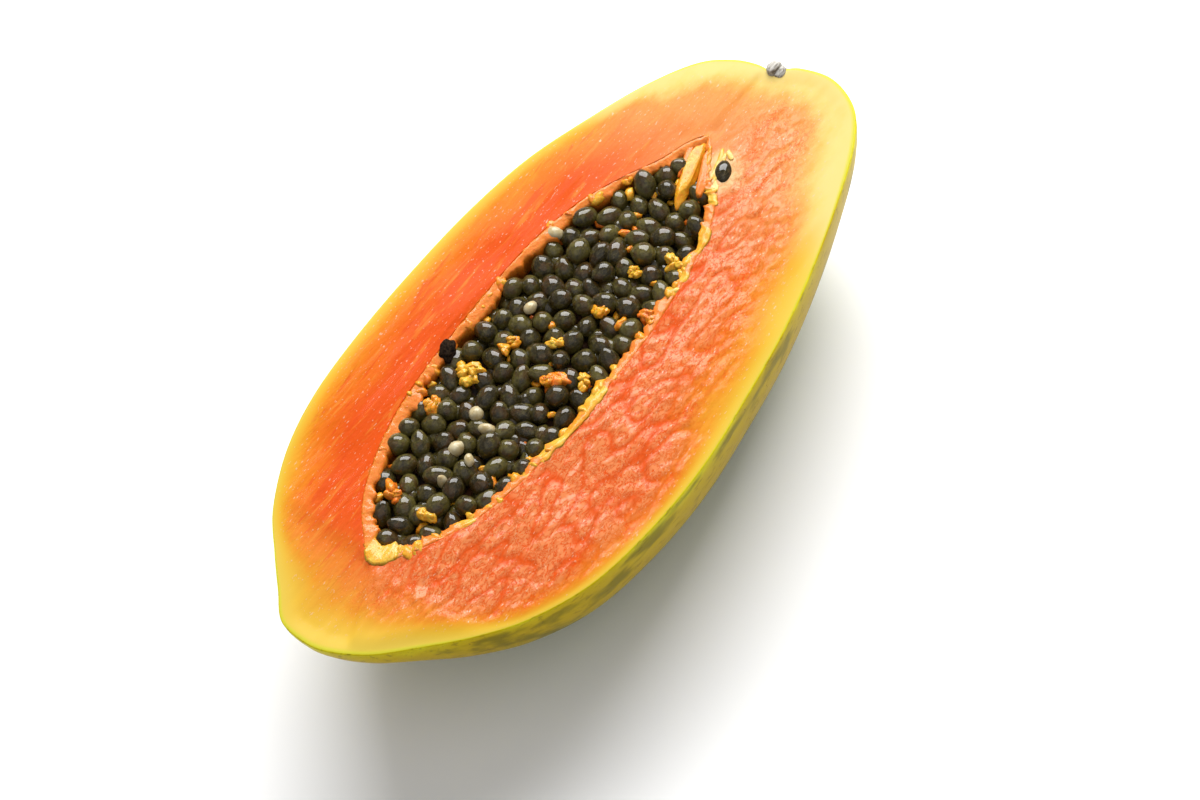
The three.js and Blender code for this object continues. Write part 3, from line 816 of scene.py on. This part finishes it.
def make_core():
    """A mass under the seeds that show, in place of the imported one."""
    piece, share, row = ball("seed_core", CORE_AROUND, CORE_ROWS)
    half = CORE_ROWS // 2
    inset = lining_inset(share) + 2 * GAP
    spots = hollow_wall(share, quarter_turn((row - half) / half), inset)
    top = row < half
    middle = np.array(HOLLOW_MIDDLE)
    edge = hollow_wall(share, np.zeros(len(share)), inset)[:, :2]
    plan = middle + (edge - middle) * (row / half)[:, None]
    spots[top] = np.column_stack([plan, np.full(len(plan), CUT_LEVEL)])[top]
    spots[:, 2] = np.minimum(spots[:, 2], CUT_LEVEL - CORE_UNDER + noise_at(spots, 5, 44))
    set_points(piece, in_frame(spots))
    smooth(piece)
    return piece


def make_dry_seed():
    """One dried seed on the hollow's far edge."""
    centre = (*DRY_SEED_AT, CUT_LEVEL - DRY_SEED_SINK)
    piece = blob("dry_seed", centre, DRY_SEED_RADII, 0.5, (40, 28), 0.3, 70)
    smooth(piece)
    return piece


# Lumps of pulp and unripe seeds
LUMP_BALLS = 5
LUMP_AWAY = (0.2, 0.9)
LUMP_SIZES = (0.3, 0.62)
LUMP_DROP = 0.8
LUMP_LONG = 1.5
LUMP_FACES = (16, 11)
LUMP_RAG = 0.5
EDGE_LUMPS = 210
EDGE_KEPT = 0.8
EDGE_JOG = 0.005
EDGE_SIZES = (0.7, 2)
EDGE_INSETS = (0.1, 2.4)
EDGE_LEVELS = (-0.3, 1.6)
CLUSTER_LONG = 18
CLUSTER_FAR = -0.12
CLUSTER_NEAR = -0.2
CRUMBS = 46
CRUMB_CLEAR = 3.1
CRUMB_WALL = 3
CRUMB_SIZES = (0.7, 1.3)
CRUMB_UNDER = (1.8, 4.6)
CRUMB_LONG = 1.7
CRUMB_FACES = (12, 8)
PALE_FACES = (14, 9)
PALE_RAG = 0.12
UPRIGHT_OVER = 3

# Strips at the hollow's stem end: start, end, half width, half depth, how deep the middle lies,
# seed of its noise, paleness, and how much it looks like flesh
STRIPS = [
    ((74.6, 10.2), (53, 3.4), 2.5, 2.6, 2.0, 90, 0.55, 0.0),
    ((74, 12), (60, 8.2), 1.3, 2, 1.9, 98, 0.15, 0.6),
    ((74.6, 7), (57, -1.4), 1.9, 3.0, 2.1, 91, 0.15, 1.0),
    ((75, 8.4), (56, 0.6), 2.2, 2.2, 4.6, 94, 0.0, 1.4),
    ((75, 3), (63.5, -3.4), 1.9, 2.6, 2.0, 92, 0.8, 0.3),
    ((74, 1.6), (62, -1.2), 1.3, 1.2, 0.7, 93, 1.1, 0.0),
    ((74.8, 1.4), (72.6, -1.6), 0.8, 0.8, 0.4, 95, 1.1, 0.1),
    ((65.2, -1), (60, -4.6), 1.5, 1.4, 0.9, 96, 1.1, 0.0),
]
STRIP_FACES = (36, 48)
STRIP_RAG = 0.26
STRIP_TOP = 0.15
STRIP_SQUASH = 0.3

LONE_SEED_DEEPER = 0.6
LONE_SEED_LONGER = 1.25
LONE_SEED_TILT = 0.1
SCAR_FACES = (20, 14)
SCAR_RAG = 0.25


def blob(name, centre, radii, turn, faces, rag, seed, pale=0.5):
    """A ragged ball of the given radii; faces are its counts round and from pole to pole."""
    piece, share, row = ball(name, *faces)
    spots = points_of(piece)
    swell = 1 + rag * noise_at(spots, 0.7, seed)
    turned = (spots * swell[:, None] * radii) @ np.array(Euler((0, 0, turn)).to_matrix()).T
    set_points(piece, in_frame(turned + centre))
    mark(piece, "depth", CUT_LEVEL - (turned + centre)[:, 2])
    mark(piece, "pale", np.full(len(spots), pale))
    mark(piece, "blend_in", np.zeros(len(spots)))
    return piece


def make_lumps():
    """The large lumps of pulp between the seeds, each of a few balls."""
    draw = draws(LUMP_DRAWS)
    pieces = []
    for x, y, radius, rise in LUMPS:
        hue = next(draw)
        for part in range(LUMP_BALLS):
            turn = next(draw) * 2 * math.pi
            away = radius * between(*LUMP_AWAY, next(draw))
            size = radius * between(*LUMP_SIZES, next(draw))
            level = CUT_LEVEL + rise - size * (1 + LUMP_DROP * next(draw))
            centre = (x + away * math.cos(turn), y + away * math.sin(turn), level)
            radii = (size * LUMP_LONG, size, size)
            heading = next(draw) * HEADINGS
            seed = len(pieces)
            pieces.append(blob("lump", centre, radii, heading, LUMP_FACES, LUMP_RAG, seed, hue))
    piece = joined(pieces, "pulp_lumps")
    smooth(piece)
    return piece


def edge_lumps(draw):
    """Small lumps of pulp in clusters along the hollow's edge."""
    pieces = []
    for step in range(EDGE_LUMPS):
        share = step / EDGE_LUMPS + next(draw) * EDGE_JOG
        far_side = share > 0.5
        bare = CLUSTER_FAR if far_side else CLUSTER_NEAR
        cluster = noise_at([(share * LIP_LONG, 0, 0)], CLUSTER_LONG, 51)[0] > bare
        keep = cluster and next(draw) < EDGE_KEPT
        size = between(*EDGE_SIZES, next(draw) ** 1.5)
        inset = between(*EDGE_INSETS, next(draw))
        level = CUT_LEVEL - size * 0.7 - between(*EDGE_LEVELS, next(draw))
        turn = next(draw) * HEADINGS
        x, y = inset_plan(round_curve(HOLLOW, [share]), [inset])[0]
        if keep and x <= TONGUE_TO[0]:
            pale = between(0, 0.7, next(draw)) if far_side else between(0.4, 1, next(draw))
            radii = (size * LUMP_LONG, size, size * 0.9)
            centre = (x, y, level)
            pieces.append(blob("lump", centre, radii, turn, CRUMB_FACES, LUMP_RAG, step, pale))
    return pieces


def make_wall_lumps():
    """The lumps along the hollow's edge, and crumbs in the gaps between the seeds."""
    draw = draws(CRUMB_DRAWS)
    pieces = edge_lumps(draw)
    for x, y in gap_spots(draw, CRUMBS, CRUMB_CLEAR, CRUMB_WALL):
        size = between(*CRUMB_SIZES, next(draw))
        centre = (x, y, CUT_LEVEL - between(*CRUMB_UNDER, next(draw)))
        radii = (size * CRUMB_LONG, size, size)
        turn = next(draw) * HEADINGS
        pale = next(draw)
        pieces.append(blob("lump", centre, radii, turn, CRUMB_FACES, LUMP_RAG, len(pieces), pale))
    piece = joined(pieces, "pulp_crumbs")
    smooth(piece)
    return piece


def make_pale_seeds():
    """Unripe seeds, one of which stands on end."""
    pieces = []
    for i, (x, y, long, wide, rise) in enumerate(PALE_SEEDS):
        upright = long > UPRIGHT_OVER
        half = long if upright else wide
        radii = (wide, wide, long) if upright else (long, wide, wide)
        centre = (x, y, CUT_LEVEL + rise - half)
        pieces.append(blob("pale", centre, radii, i, PALE_FACES, PALE_RAG, i + 60))
    piece = joined(pieces, "pale_seeds")
    smooth(piece)
    return piece


def strand(start, end, half_wide, half_deep, sink, seed, pale, cover):
    """A long flat-topped strip of pulp from one plan point to another."""
    (ax, ay), (bx, by) = start, end
    long = math.hypot(ax - bx, ay - by) / 2
    centre = ((ax + bx) / 2, (ay + by) / 2, CUT_LEVEL - sink)
    turn = math.atan2(ay - by, ax - bx)
    radii = (long, half_wide, half_deep)
    piece = blob("strand", centre, radii, turn, STRIP_FACES, STRIP_RAG, seed, pale)
    spots = points_of(piece)
    roof = in_frame((0, 0, CUT_LEVEL - STRIP_TOP))[2]
    squashed = between(roof, spots[:, 2], STRIP_SQUASH)
    spots[:, 2] = np.where(spots[:, 2] > roof, squashed, spots[:, 2])
    set_points(piece, spots)
    layer = piece.data.attributes["blend_in"].data
    layer.foreach_set("value", np.full(len(spots), cover))
    return piece


def make_tongue():
    """The strips at the hollow's stem end, with the crack between them, and the torn pale patch."""
    piece = joined([strand(*strip) for strip in STRIPS], "pulp_tongue")
    smooth(piece)
    return piece


def make_lone_seed():
    """The dark seed in the flesh beside the hollow's stem end."""
    centre = (*LONE_SEED_AT, CUT_LEVEL - LONE_SEED_SINK - LONE_SEED_DEEPER)
    turn = Euler((0, LONE_SEED_TILT, LONE_SEED_TURN)).to_matrix()
    radii = (SEED_LONG * LONE_SEED_LONGER, SEED_WIDE)
    piece = make_seed(centre, turn, radii, draws(LONE_SEED_DRAWS))
    piece.name = "loose_seed"
    smooth(piece)
    return piece


def make_scar():
    """The dry remnant of the stalk, of two lobes side by side."""
    lobes = []
    for side in (-1, 1):
        level = CUT_LEVEL - SCAR_SINK + side * SCAR_RISE / 2
        centre = (SCAR_AT[0], SCAR_AT[1] + side * SCAR_APART / 2, level)
        radii = (SCAR_LENGTH / 2, SCAR_LOBE, SCAR_LOBE)
        lobes.append(blob("lobe", centre, radii, 0, SCAR_FACES, SCAR_RAG, 30 + side))
    piece = joined(lobes, "stalk_remnant")
    smooth(piece)
    return piece


# Materials
class Socket:
    """A node's output, so that shader maths is written as ordinary Python."""

    def __init__(self, finish, output):
        self.finish = finish
        self.output = output

    def __add__(self, other):
        return self.finish.maths("ADD", self, other)

    def __radd__(self, other):
        return self.finish.maths("ADD", other, self)

    def __sub__(self, other):
        return self.finish.maths("SUBTRACT", self, other)

    def __rsub__(self, other):
        return self.finish.maths("SUBTRACT", other, self)

    def __mul__(self, other):
        return self.finish.maths("MULTIPLY", self, other)

    def __rmul__(self, other):
        return self.finish.maths("MULTIPLY", other, self)

    def __truediv__(self, other):
        return self.finish.maths("DIVIDE", self, other)

    def __abs__(self):
        return self.finish.maths("ABSOLUTE", self)


# Colours, linear: the ramps' stops first
FLESH_STOPS = [
    (0.0, (0.55, 0.41, 0.05)),
    (0.1, (0.57, 0.34, 0.025)),
    (0.24, (0.58, 0.22, 0.009)),
    (0.38, (0.58, 0.15, 0.005)),
    (0.6, (0.57, 0.11, 0.003)),
    (0.95, (0.55, 0.062, 0.002)),
]
RIND_STOPS = [
    (0.0, (0.64, 0.56, 0.01)),
    (0.05, (0.56, 0.43, 0.003)),
    (0.12, (0.50, 0.35, 0.002)),
    (0.35, (0.42, 0.28, 0.002)),
    (0.6, (0.28, 0.24, 0.003)),
    (0.9, (0.25, 0.26, 0.008)),
]
PULP_STOPS = [
    (0.0, (0.60, 0.13, 0.004)),
    (0.2, (0.62, 0.21, 0.005)),
    (0.45, (0.64, 0.29, 0.01)),
    (0.75, (0.64, 0.37, 0.03)),
    (1.0, (0.62, 0.43, 0.13)),
]
DRY_SEED_STOPS = [(0.4, (0.005, 0.003, 0.002)), (0.7, (0.045, 0.026, 0.014))]
CORE_STOPS = [(0.4, (0.01, 0.007, 0.004)), (0.65, (0.16, 0.045, 0.006))]
PALE_SEED_STOPS = [(0.3, (0.38, 0.28, 0.12)), (0.7, (0.47, 0.41, 0.26))]
STALK_STOPS = [(0.35, (0.16, 0.14, 0.11)), (0.6, (0.44, 0.42, 0.38))]
FLOOR_STOPS = [(0.3, (0.9, 0.9, 0.9)), (0.7, (0.92, 0.92, 0.92))]
RED_STREAK = (0.53, 0.053, 0.003)
PALE_STREAK = (0.6, 0.23, 0.025)
PEACH = (0.59, 0.25, 0.068)
CREAM = (0.58, 0.47, 0.18)
SKIN_LINE = (0.48, 0.45, 0.03)
# Painted pink sheen for the torn flesh's wet plateaus
PAINTED_SHEEN_PINK = (0.61, 0.2, 0.065)
PALE_PATCH = (0.59, 0.38, 0.16)
WET_VALLEY = (0.6, 0.065, 0.004)
# Painted glints on the flesh
PAINTED_GLINT = (0.61, 0.37, 0.22)
GREEN_PATCH = (0.07, 0.075, 0.004)
SCUFF = (0.14, 0.081, 0.006)
DARK_SPECK = (0.062, 0.031, 0.009)
SEED_DARK = (0.022, 0.016, 0.004)
SEED_OLIVE = (0.1, 0.082, 0.018)
SEED_BROWN = (0.06, 0.026, 0.005)
SEED_VEIN = (0.13, 0.095, 0.035)
PULP_LIKE_FLESH = (0.62, 0.165, 0.012)


class Finish:
    """A material that is put together node by node."""

    def __init__(self, name):
        self.material = bpy.data.materials.new(name)
        self.material.use_nodes = True
        self.tree = self.material.node_tree
        self.shader = self.tree.nodes["Principled BSDF"]

    def node(self, kind, settings=None, sockets=None, out=0):
        made = self.tree.nodes.new(kind)
        for name, value in (settings or {}).items():
            if name == "stops":
                self.set_stops(made.color_ramp, value)
            else:
                setattr(made, name, value)
        for name, value in (sockets or {}).items():
            self.feed(made.inputs[name], value)
        return Socket(self, made.outputs[out])

    def set_stops(self, ramp, stops):
        while len(ramp.elements) < len(stops):
            ramp.elements.new(1)
        for element, (position, colour) in zip(ramp.elements, stops):
            element.position = position
            element.color = (*colour, 1)

    def feed(self, entry, value):
        if isinstance(value, Socket):
            self.tree.links.new(value.output, entry)
        elif entry.type == "RGBA" and len(value) == 3:
            entry.default_value = (*value, 1)
        else:
            entry.default_value = value

    def maths(self, operation, *values):
        return self.node("ShaderNodeMath", {"operation": operation}, dict(enumerate(values)))

    def step(self, value, low, high):
        ranges = {"Value": value, "From Min": low, "From Max": high}
        return self.node("ShaderNodeMapRange", {"interpolation_type": "SMOOTHSTEP"}, ranges)

    def blend(self, first, second, share):
        made = {6: first, 7: second, 0: share}
        return self.node("ShaderNodeMix", {"data_type": "RGBA"}, made, 2)

    def ramp(self, value, stops):
        return self.node("ShaderNodeValToRGB", {"stops": stops}, {"Fac": value})

    def attribute(self, name):
        return self.node("ShaderNodeAttribute", {"attribute_name": name}, out=2)

    def place(self, stretch=(1, 1, 1)):
        """Object coordinates in millimetres, drawn out along each axis."""
        spot = self.node("ShaderNodeTexCoord", out=3)
        scale = tuple(1 / (MM * along) for along in stretch)
        return self.node("ShaderNodeMapping", {}, {"Vector": spot, "Scale": scale})

    def noise(self, spot, size, detail=2, rough=0.5, warp=0):
        sockets = {"Vector": spot, "Scale": 1 / size, "Detail": detail}
        sockets.update({"Roughness": rough, "Distortion": warp})
        return self.node("ShaderNodeTexNoise", {}, sockets)

    def bump(self, height, depth):
        sockets = {"Height": height, "Distance": depth * MM, "Strength": 1}
        return self.node("ShaderNodeBump", {}, sockets)

    def set(self, **sockets):
        for name, value in sockets.items():
            label = name.replace("_", " ").title().replace("Ior", "IOR")
            self.feed(self.shader.inputs[label], value)

    def on(self, piece):
        piece.data.materials.clear()
        piece.data.materials.append(self.material)


def flesh_colour(finish, wet, torn):
    """Yellow under the skin, through orange to red at the hollow, with a painted pink sheen on the
    torn flesh's wet plateaus.
    """
    ripe = finish.attribute("ripe")
    streak = finish.noise(finish.place((8, 1, 1)), 2.4, 4, 0.65, 0.5)
    patch = finish.noise(finish.place((1.8, 1, 1)), 6, 4, 0.6)
    inner = finish.step(ripe, 0.5, 1.6)
    tone = ripe + (streak - 0.5) * (3.4 - torn * 1.6) * inner + (patch - 0.5) * 1.6 * inner
    colour = finish.ramp(tone / RIPE_WALL, FLESH_STOPS)
    calm = (1 - torn) * inner
    colour = finish.blend(colour, RED_STREAK, finish.step(streak, 0.47, 0.36) * calm * 0.75)
    colour = finish.blend(colour, PALE_STREAK, finish.step(streak, 0.53, 0.68) * calm * 0.5)
    stem_end = finish.attribute("peach")
    colour = finish.blend(colour, PEACH, stem_end * inner * (0.45 + patch * 0.5))
    cream = finish.step(ripe + (patch - 0.5) * 1.6, 1.5, 0.1) * finish.step(stem_end, 0.2, 1.0)
    colour = finish.blend(colour, CREAM, cream * 0.75)
    colour = finish.blend(colour, SKIN_LINE, finish.step(ripe, 0.12, 0.03))
    # Painted sheen: pink on the torn flesh's wet plateaus stands in for the gloss that reflects
    # there.
    flesh_with_painted_sheen = finish.blend(colour, PAINTED_SHEEN_PINK, torn * wet * finish.step(ripe, 1, 3) * 0.8)
    seed_patch = finish.step(finish.attribute("from_seed") + (patch - 0.5) * 9, 9, 4)
    return finish.blend(flesh_with_painted_sheen, PALE_PATCH, seed_patch * 0.85)


def rind_colour(finish):
    """Yellow at the rim, darker and yellow-green lower down, with green patches, scuffs and dark
    specks.
    """
    below = finish.attribute("below")
    broad = finish.noise(finish.place((2, 1, 1)), 22, 3, 0.55)
    mottle = finish.noise(finish.place(), 3, 4, 0.65)
    level = below / 45 + (broad - 0.45) * 0.4 + (mottle - 0.5) * 0.12
    colour = finish.ramp(level, RIND_STOPS)
    green = finish.step(finish.noise(finish.place((2.2, 1, 1)), 13, 3, 0.6), 0.52, 0.66)
    green = green * finish.step(below, 0.6, 3)
    colour = finish.blend(colour, GREEN_PATCH, green * 0.6)
    scuff = finish.step(finish.noise(finish.place((3, 1, 1)), 2.0, 4, 0.7), 0.54, 0.66)
    colour = finish.blend(colour, SCUFF, scuff * 0.45)
    # Dark specks of the rind's own colour, in clusters.
    speck_and_painted_glint = finish.step(finish.noise(finish.place(), 1.1, 2), 0.7, 0.76)
    cluster = finish.step(broad, 0.45, 0.6)
    return finish.blend(colour, DARK_SPECK, speck_and_painted_glint * cluster * 0.8)


def flesh_height(finish, torn, inner, plateau, speck_and_painted_glint):
    """Relief of the flesh: soft hills and worn flats where it is torn, fibres elsewhere."""
    hills = finish.noise(finish.place((1.6, 1, 1)), 2.4, 3, 0.55, 0.3)
    fine = finish.noise(finish.place((2.2, 1, 1)), 0.8, 3, 0.6)
    fibre = finish.noise(finish.place((5, 1, 1)), 1.3, 3, 0.6)
    height = (hills * 2 + plateau * 0.35) * torn + fine * 0.8 * inner
    return height + fibre * (1 - torn) * 1.8 * inner + speck_and_painted_glint * 0.15


def fruit_finish():
    """Flesh on the cut face and in the hollow, rind outside."""
    finish = Finish("papaya flesh and rind")
    rind = finish.attribute("rind")
    torn = finish.attribute("torn")
    crease = finish.attribute("crease")
    ripe = finish.attribute("ripe")
    inner = finish.step(ripe, 0.35, 1.3)
    worms = abs(finish.noise(finish.place((1.8, 1, 1)), 1.4, 4, 0.7, 0.6) - 0.5)
    plateau = finish.step(worms, 0.006, 0.045)
    dash = finish.noise(finish.place((2.6, 1, 1)), 0.5, 2)
    # Pale pink specks on the flesh are painted glints; they also thicken the wet coat and lift the
    # bump a little.
    speck_and_painted_glint = finish.step(dash, 0.655, 0.72) * finish.step(ripe, 0.15, 0.6)
    # Wet plateaus get a glossier coat, and in the flesh colour a painted pink sheen.
    wet = plateau * (1 - crease)
    deep = finish.step(finish.noise(finish.place((2.5, 1, 1)), 6, 3), 0.42, 0.66)
    valley = (1 - plateau) * torn * (0.3 + deep * 0.7) + crease * deep * 0.3
    flesh = finish.blend(flesh_colour(finish, wet, torn), WET_VALLEY, valley)
    flesh = finish.blend(flesh, PAINTED_GLINT, speck_and_painted_glint * 0.6)
    finish.set(base_color=finish.blend(flesh, rind_colour(finish), rind))
    finish.set(roughness=0.5 - rind * 0.1 - torn * wet * 0.1, specular_ior_level=0.06)
    film = (0.04 + torn * wet * 0.3 + speck_and_painted_glint * 0.5) * (1 - rind * 0.4)
    finish.set(coat_weight=film, coat_roughness=0.1)
    pores = finish.noise(finish.place(), 0.8, 3) * rind * 0.18
    height = flesh_height(finish, torn, inner, plateau, speck_and_painted_glint)
    finish.set(normal=finish.bump(height * (1 - rind) + pores, 0.13))
    return finish


def seed_finish():
    """Near black under a clear wet coat, with olive and brown clouds and thin pale veins; the olive
    is painted lighter on each seed's lower sides and darker on top, as painted light and shade.
    """
    finish = Finish("wet dark seed")
    shade = finish.attribute("shade")
    top = finish.attribute("top")
    cloud = finish.noise(finish.place(), 2.2, 3, 0.6)
    # The cloud noise and each seed's random shade value give its own mottling; the top term paints
    # light and shade: darker on top, lighter olive on the lower sides.
    olive_and_painted_side_light = finish.step(cloud * 1.5 + shade * 0.5 - top * 0.3, 0.5, 1.15)
    colour = finish.blend(SEED_DARK, SEED_OLIVE, olive_and_painted_side_light)
    brown = finish.step(finish.noise(finish.place(), 3.4, 2), 0.5, 0.64)
    colour = finish.blend(colour, SEED_BROWN, brown * 0.7)
    vein = finish.step(abs(finish.noise(finish.place((3, 1, 1)), 1.0, 2) - 0.5), 0.03, 0.0)
    finish.set(base_color=finish.blend(colour, SEED_VEIN, vein * 0.4))
    finish.set(roughness=0.5, specular_ior_level=0.02, coat_weight=1, coat_roughness=0.04)
    finish.set(coat_ior=1.45)
    crinkle = finish.noise(finish.place(), 0.9, 3, 0.65, 1.6)
    finish.set(normal=finish.bump(crinkle, 0.65))
    return finish


def dry_seed_finish():
    finish = Finish("dried seed")
    crust = finish.noise(finish.place(), 0.7, 4, 0.7)
    colour = finish.ramp(crust, DRY_SEED_STOPS)
    finish.set(base_color=colour, roughness=0.85, specular_ior_level=0.06)
    finish.set(normal=finish.bump(crust, 1.1))
    return finish


def core_finish():
    finish = Finish("packed seeds below")
    mottle = finish.noise(finish.place(), 4, 2)
    colour = finish.ramp(mottle, CORE_STOPS)
    finish.set(base_color=colour, roughness=0.6)
    finish.set(normal=finish.bump(mottle, 0.8))
    return finish


def pulp_finish():
    """Orange deep down to pale yellow on top, and like the flesh where it blends in."""
    finish = Finish("wet pulp")
    depth = finish.attribute("depth")
    pale = finish.attribute("pale")
    mottle = finish.noise(finish.place(), 1.8, 3)
    tone = pale * 0.75 - depth * 0.06 + (mottle - 0.5) * 0.9
    colour = finish.ramp(tone, PULP_STOPS)
    like_flesh = finish.step(finish.attribute("blend_in") + (mottle - 0.5) * 0.8, 0.3, 0.95)
    colour = finish.blend(colour, PULP_LIKE_FLESH, like_flesh)
    finish.set(base_color=colour, roughness=0.45, specular_ior_level=0.2)
    finish.set(coat_weight=0.6, coat_roughness=0.08, coat_ior=1.36)
    finish.set(subsurface_weight=0.3, subsurface_scale=1.5 * MM)
    finish.set(normal=finish.bump(finish.noise(finish.place(), 0.9, 3), 0.22))
    return finish


def pale_seed_finish():
    finish = Finish("unripe seed")
    mottle = finish.noise(finish.place(), 1.6, 2)
    colour = finish.ramp(mottle, PALE_SEED_STOPS)
    finish.set(base_color=colour, roughness=0.3)
    finish.set(normal=finish.bump(mottle, 0.2))
    return finish


def scar_finish():
    finish = Finish("dry stalk")
    streak = finish.noise(finish.place((4, 1, 1)), 0.6, 3)
    colour = finish.ramp(streak, STALK_STOPS)
    finish.set(base_color=colour, roughness=0.8)
    finish.set(normal=finish.bump(streak, 0.3))
    return finish


def floor_finish():
    finish = Finish("pale floor")
    tint = finish.noise(finish.place(), 90, 2)
    colour = finish.ramp(tint, FLOOR_STOPS)
    finish.set(base_color=colour, roughness=0.9)
    return finish


# Camera
CAMERA_RISE = 60
CAMERA_TURN = -34.354
CAMERA_ROLL = -20
CAMERA_LENS = 100
CAMERA_SENSOR = 36
CAMERA_AWAY = 0.90616
CAMERA_TARGET = (-8.127, -17.281, CUT_LEVEL)


def camera_axes(turn, rise, roll):
    """The camera's right, up and backward directions."""
    a, e, r = (math.radians(angle) for angle in (turn, rise, roll))
    back = Vector((math.sin(a) * math.cos(e), -math.cos(a) * math.cos(e), math.sin(e)))
    right = Vector((math.cos(a), math.sin(a), 0))
    up = back.cross(right)
    return right * math.cos(r) + up * math.sin(r), up * math.cos(r) - right * math.sin(r), back


def make_camera():
    right, up, back = camera_axes(CAMERA_TURN, CAMERA_RISE, CAMERA_ROLL)
    data = bpy.data.cameras.new("camera")
    data.lens = CAMERA_LENS
    data.sensor_width = CAMERA_SENSOR
    camera = bpy.data.objects.new("camera", data)
    bpy.context.scene.collection.objects.link(camera)
    turn = Matrix((right, up, back)).transposed().to_4x4()
    target = Vector(in_frame(CAMERA_TARGET))
    camera.matrix_world = Matrix.Translation(target + back * CAMERA_AWAY) @ turn
    bpy.context.scene.camera = camera
    return up, back


# Light
KEY_RISE = 42
KEY_AWAY = 1.3
KEY_SIZE = (1.4, 0.9)
KEY_POWER = 40
OVERHEAD_RISE = 70
OVERHEAD_AWAY = 2.4
OVERHEAD_SIZE = (3, 3)
OVERHEAD_POWER = 13
ROOM_LIGHT = 0.32
FLOOR_SIZE = 6


def make_light(name, direction, away, size, power):
    data = bpy.data.lights.new(name, "AREA")
    data.shape = "RECTANGLE"
    data.size, data.size_y = size
    data.energy = power
    light = bpy.data.objects.new(name, data)
    bpy.context.scene.collection.objects.link(light)
    aim = Vector(direction).normalized()
    light.location = aim * away
    light.rotation_mode = "QUATERNION"
    light.rotation_quaternion = aim.to_track_quat("Z", "Y")


def aimed(flat, rise):
    """A direction that rises by some degrees from a level one."""
    angle = math.radians(rise)
    return flat * math.cos(angle) + Vector((0, 0, math.sin(angle)))


def make_lights(up, back):
    far = Vector((up.x, up.y, 0)).normalized()
    near = Vector((back.x, back.y, 0)).normalized()
    make_light("key", aimed(far, KEY_RISE), KEY_AWAY, KEY_SIZE, KEY_POWER)
    above = aimed(near, OVERHEAD_RISE)
    make_light("overhead", above, OVERHEAD_AWAY, OVERHEAD_SIZE, OVERHEAD_POWER)
    world = bpy.data.worlds.new("studio")
    world.use_nodes = True
    room = world.node_tree.nodes["Background"]
    room.inputs["Color"].default_value = (1, 1, 1, 1)
    room.inputs["Strength"].default_value = ROOM_LIGHT
    bpy.context.scene.world = world
    bpy.context.scene.view_settings.view_transform = "Standard"


def make_floor():
    deselect()
    bpy.ops.mesh.primitive_plane_add(size=FLOOR_SIZE, location=(0, 0, 0))
    floor = added("floor")
    floor_finish().on(floor)


def placed(piece, node, finish):
    finish.on(piece)
    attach(piece, "root")
    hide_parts(node)


up, back = make_camera()
make_lights(up, back)
make_floor()
placed(make_fruit(), "fruit_half", fruit_finish())
pulp = pulp_finish()
placed(make_lining(), "pulp_lining", pulp)
placed(make_lumps(), "pulp_lining", pulp)
placed(make_wall_lumps(), "pulp_lining", pulp)
placed(make_tongue(), "pulp_lining", pulp)
placed(make_pale_seeds(), "pulp_lining", pale_seed_finish())
seed = seed_finish()
placed(make_seeds(), "seed_mass", seed)
placed(make_under_seeds(), "seed_mass", seed)
placed(make_core(), "seed_mass", core_finish())
placed(make_dry_seed(), "seed_mass", dry_seed_finish())
placed(make_lone_seed(), "lone_seed", seed)
placed(make_scar(), "stalk_scar", scar_finish())
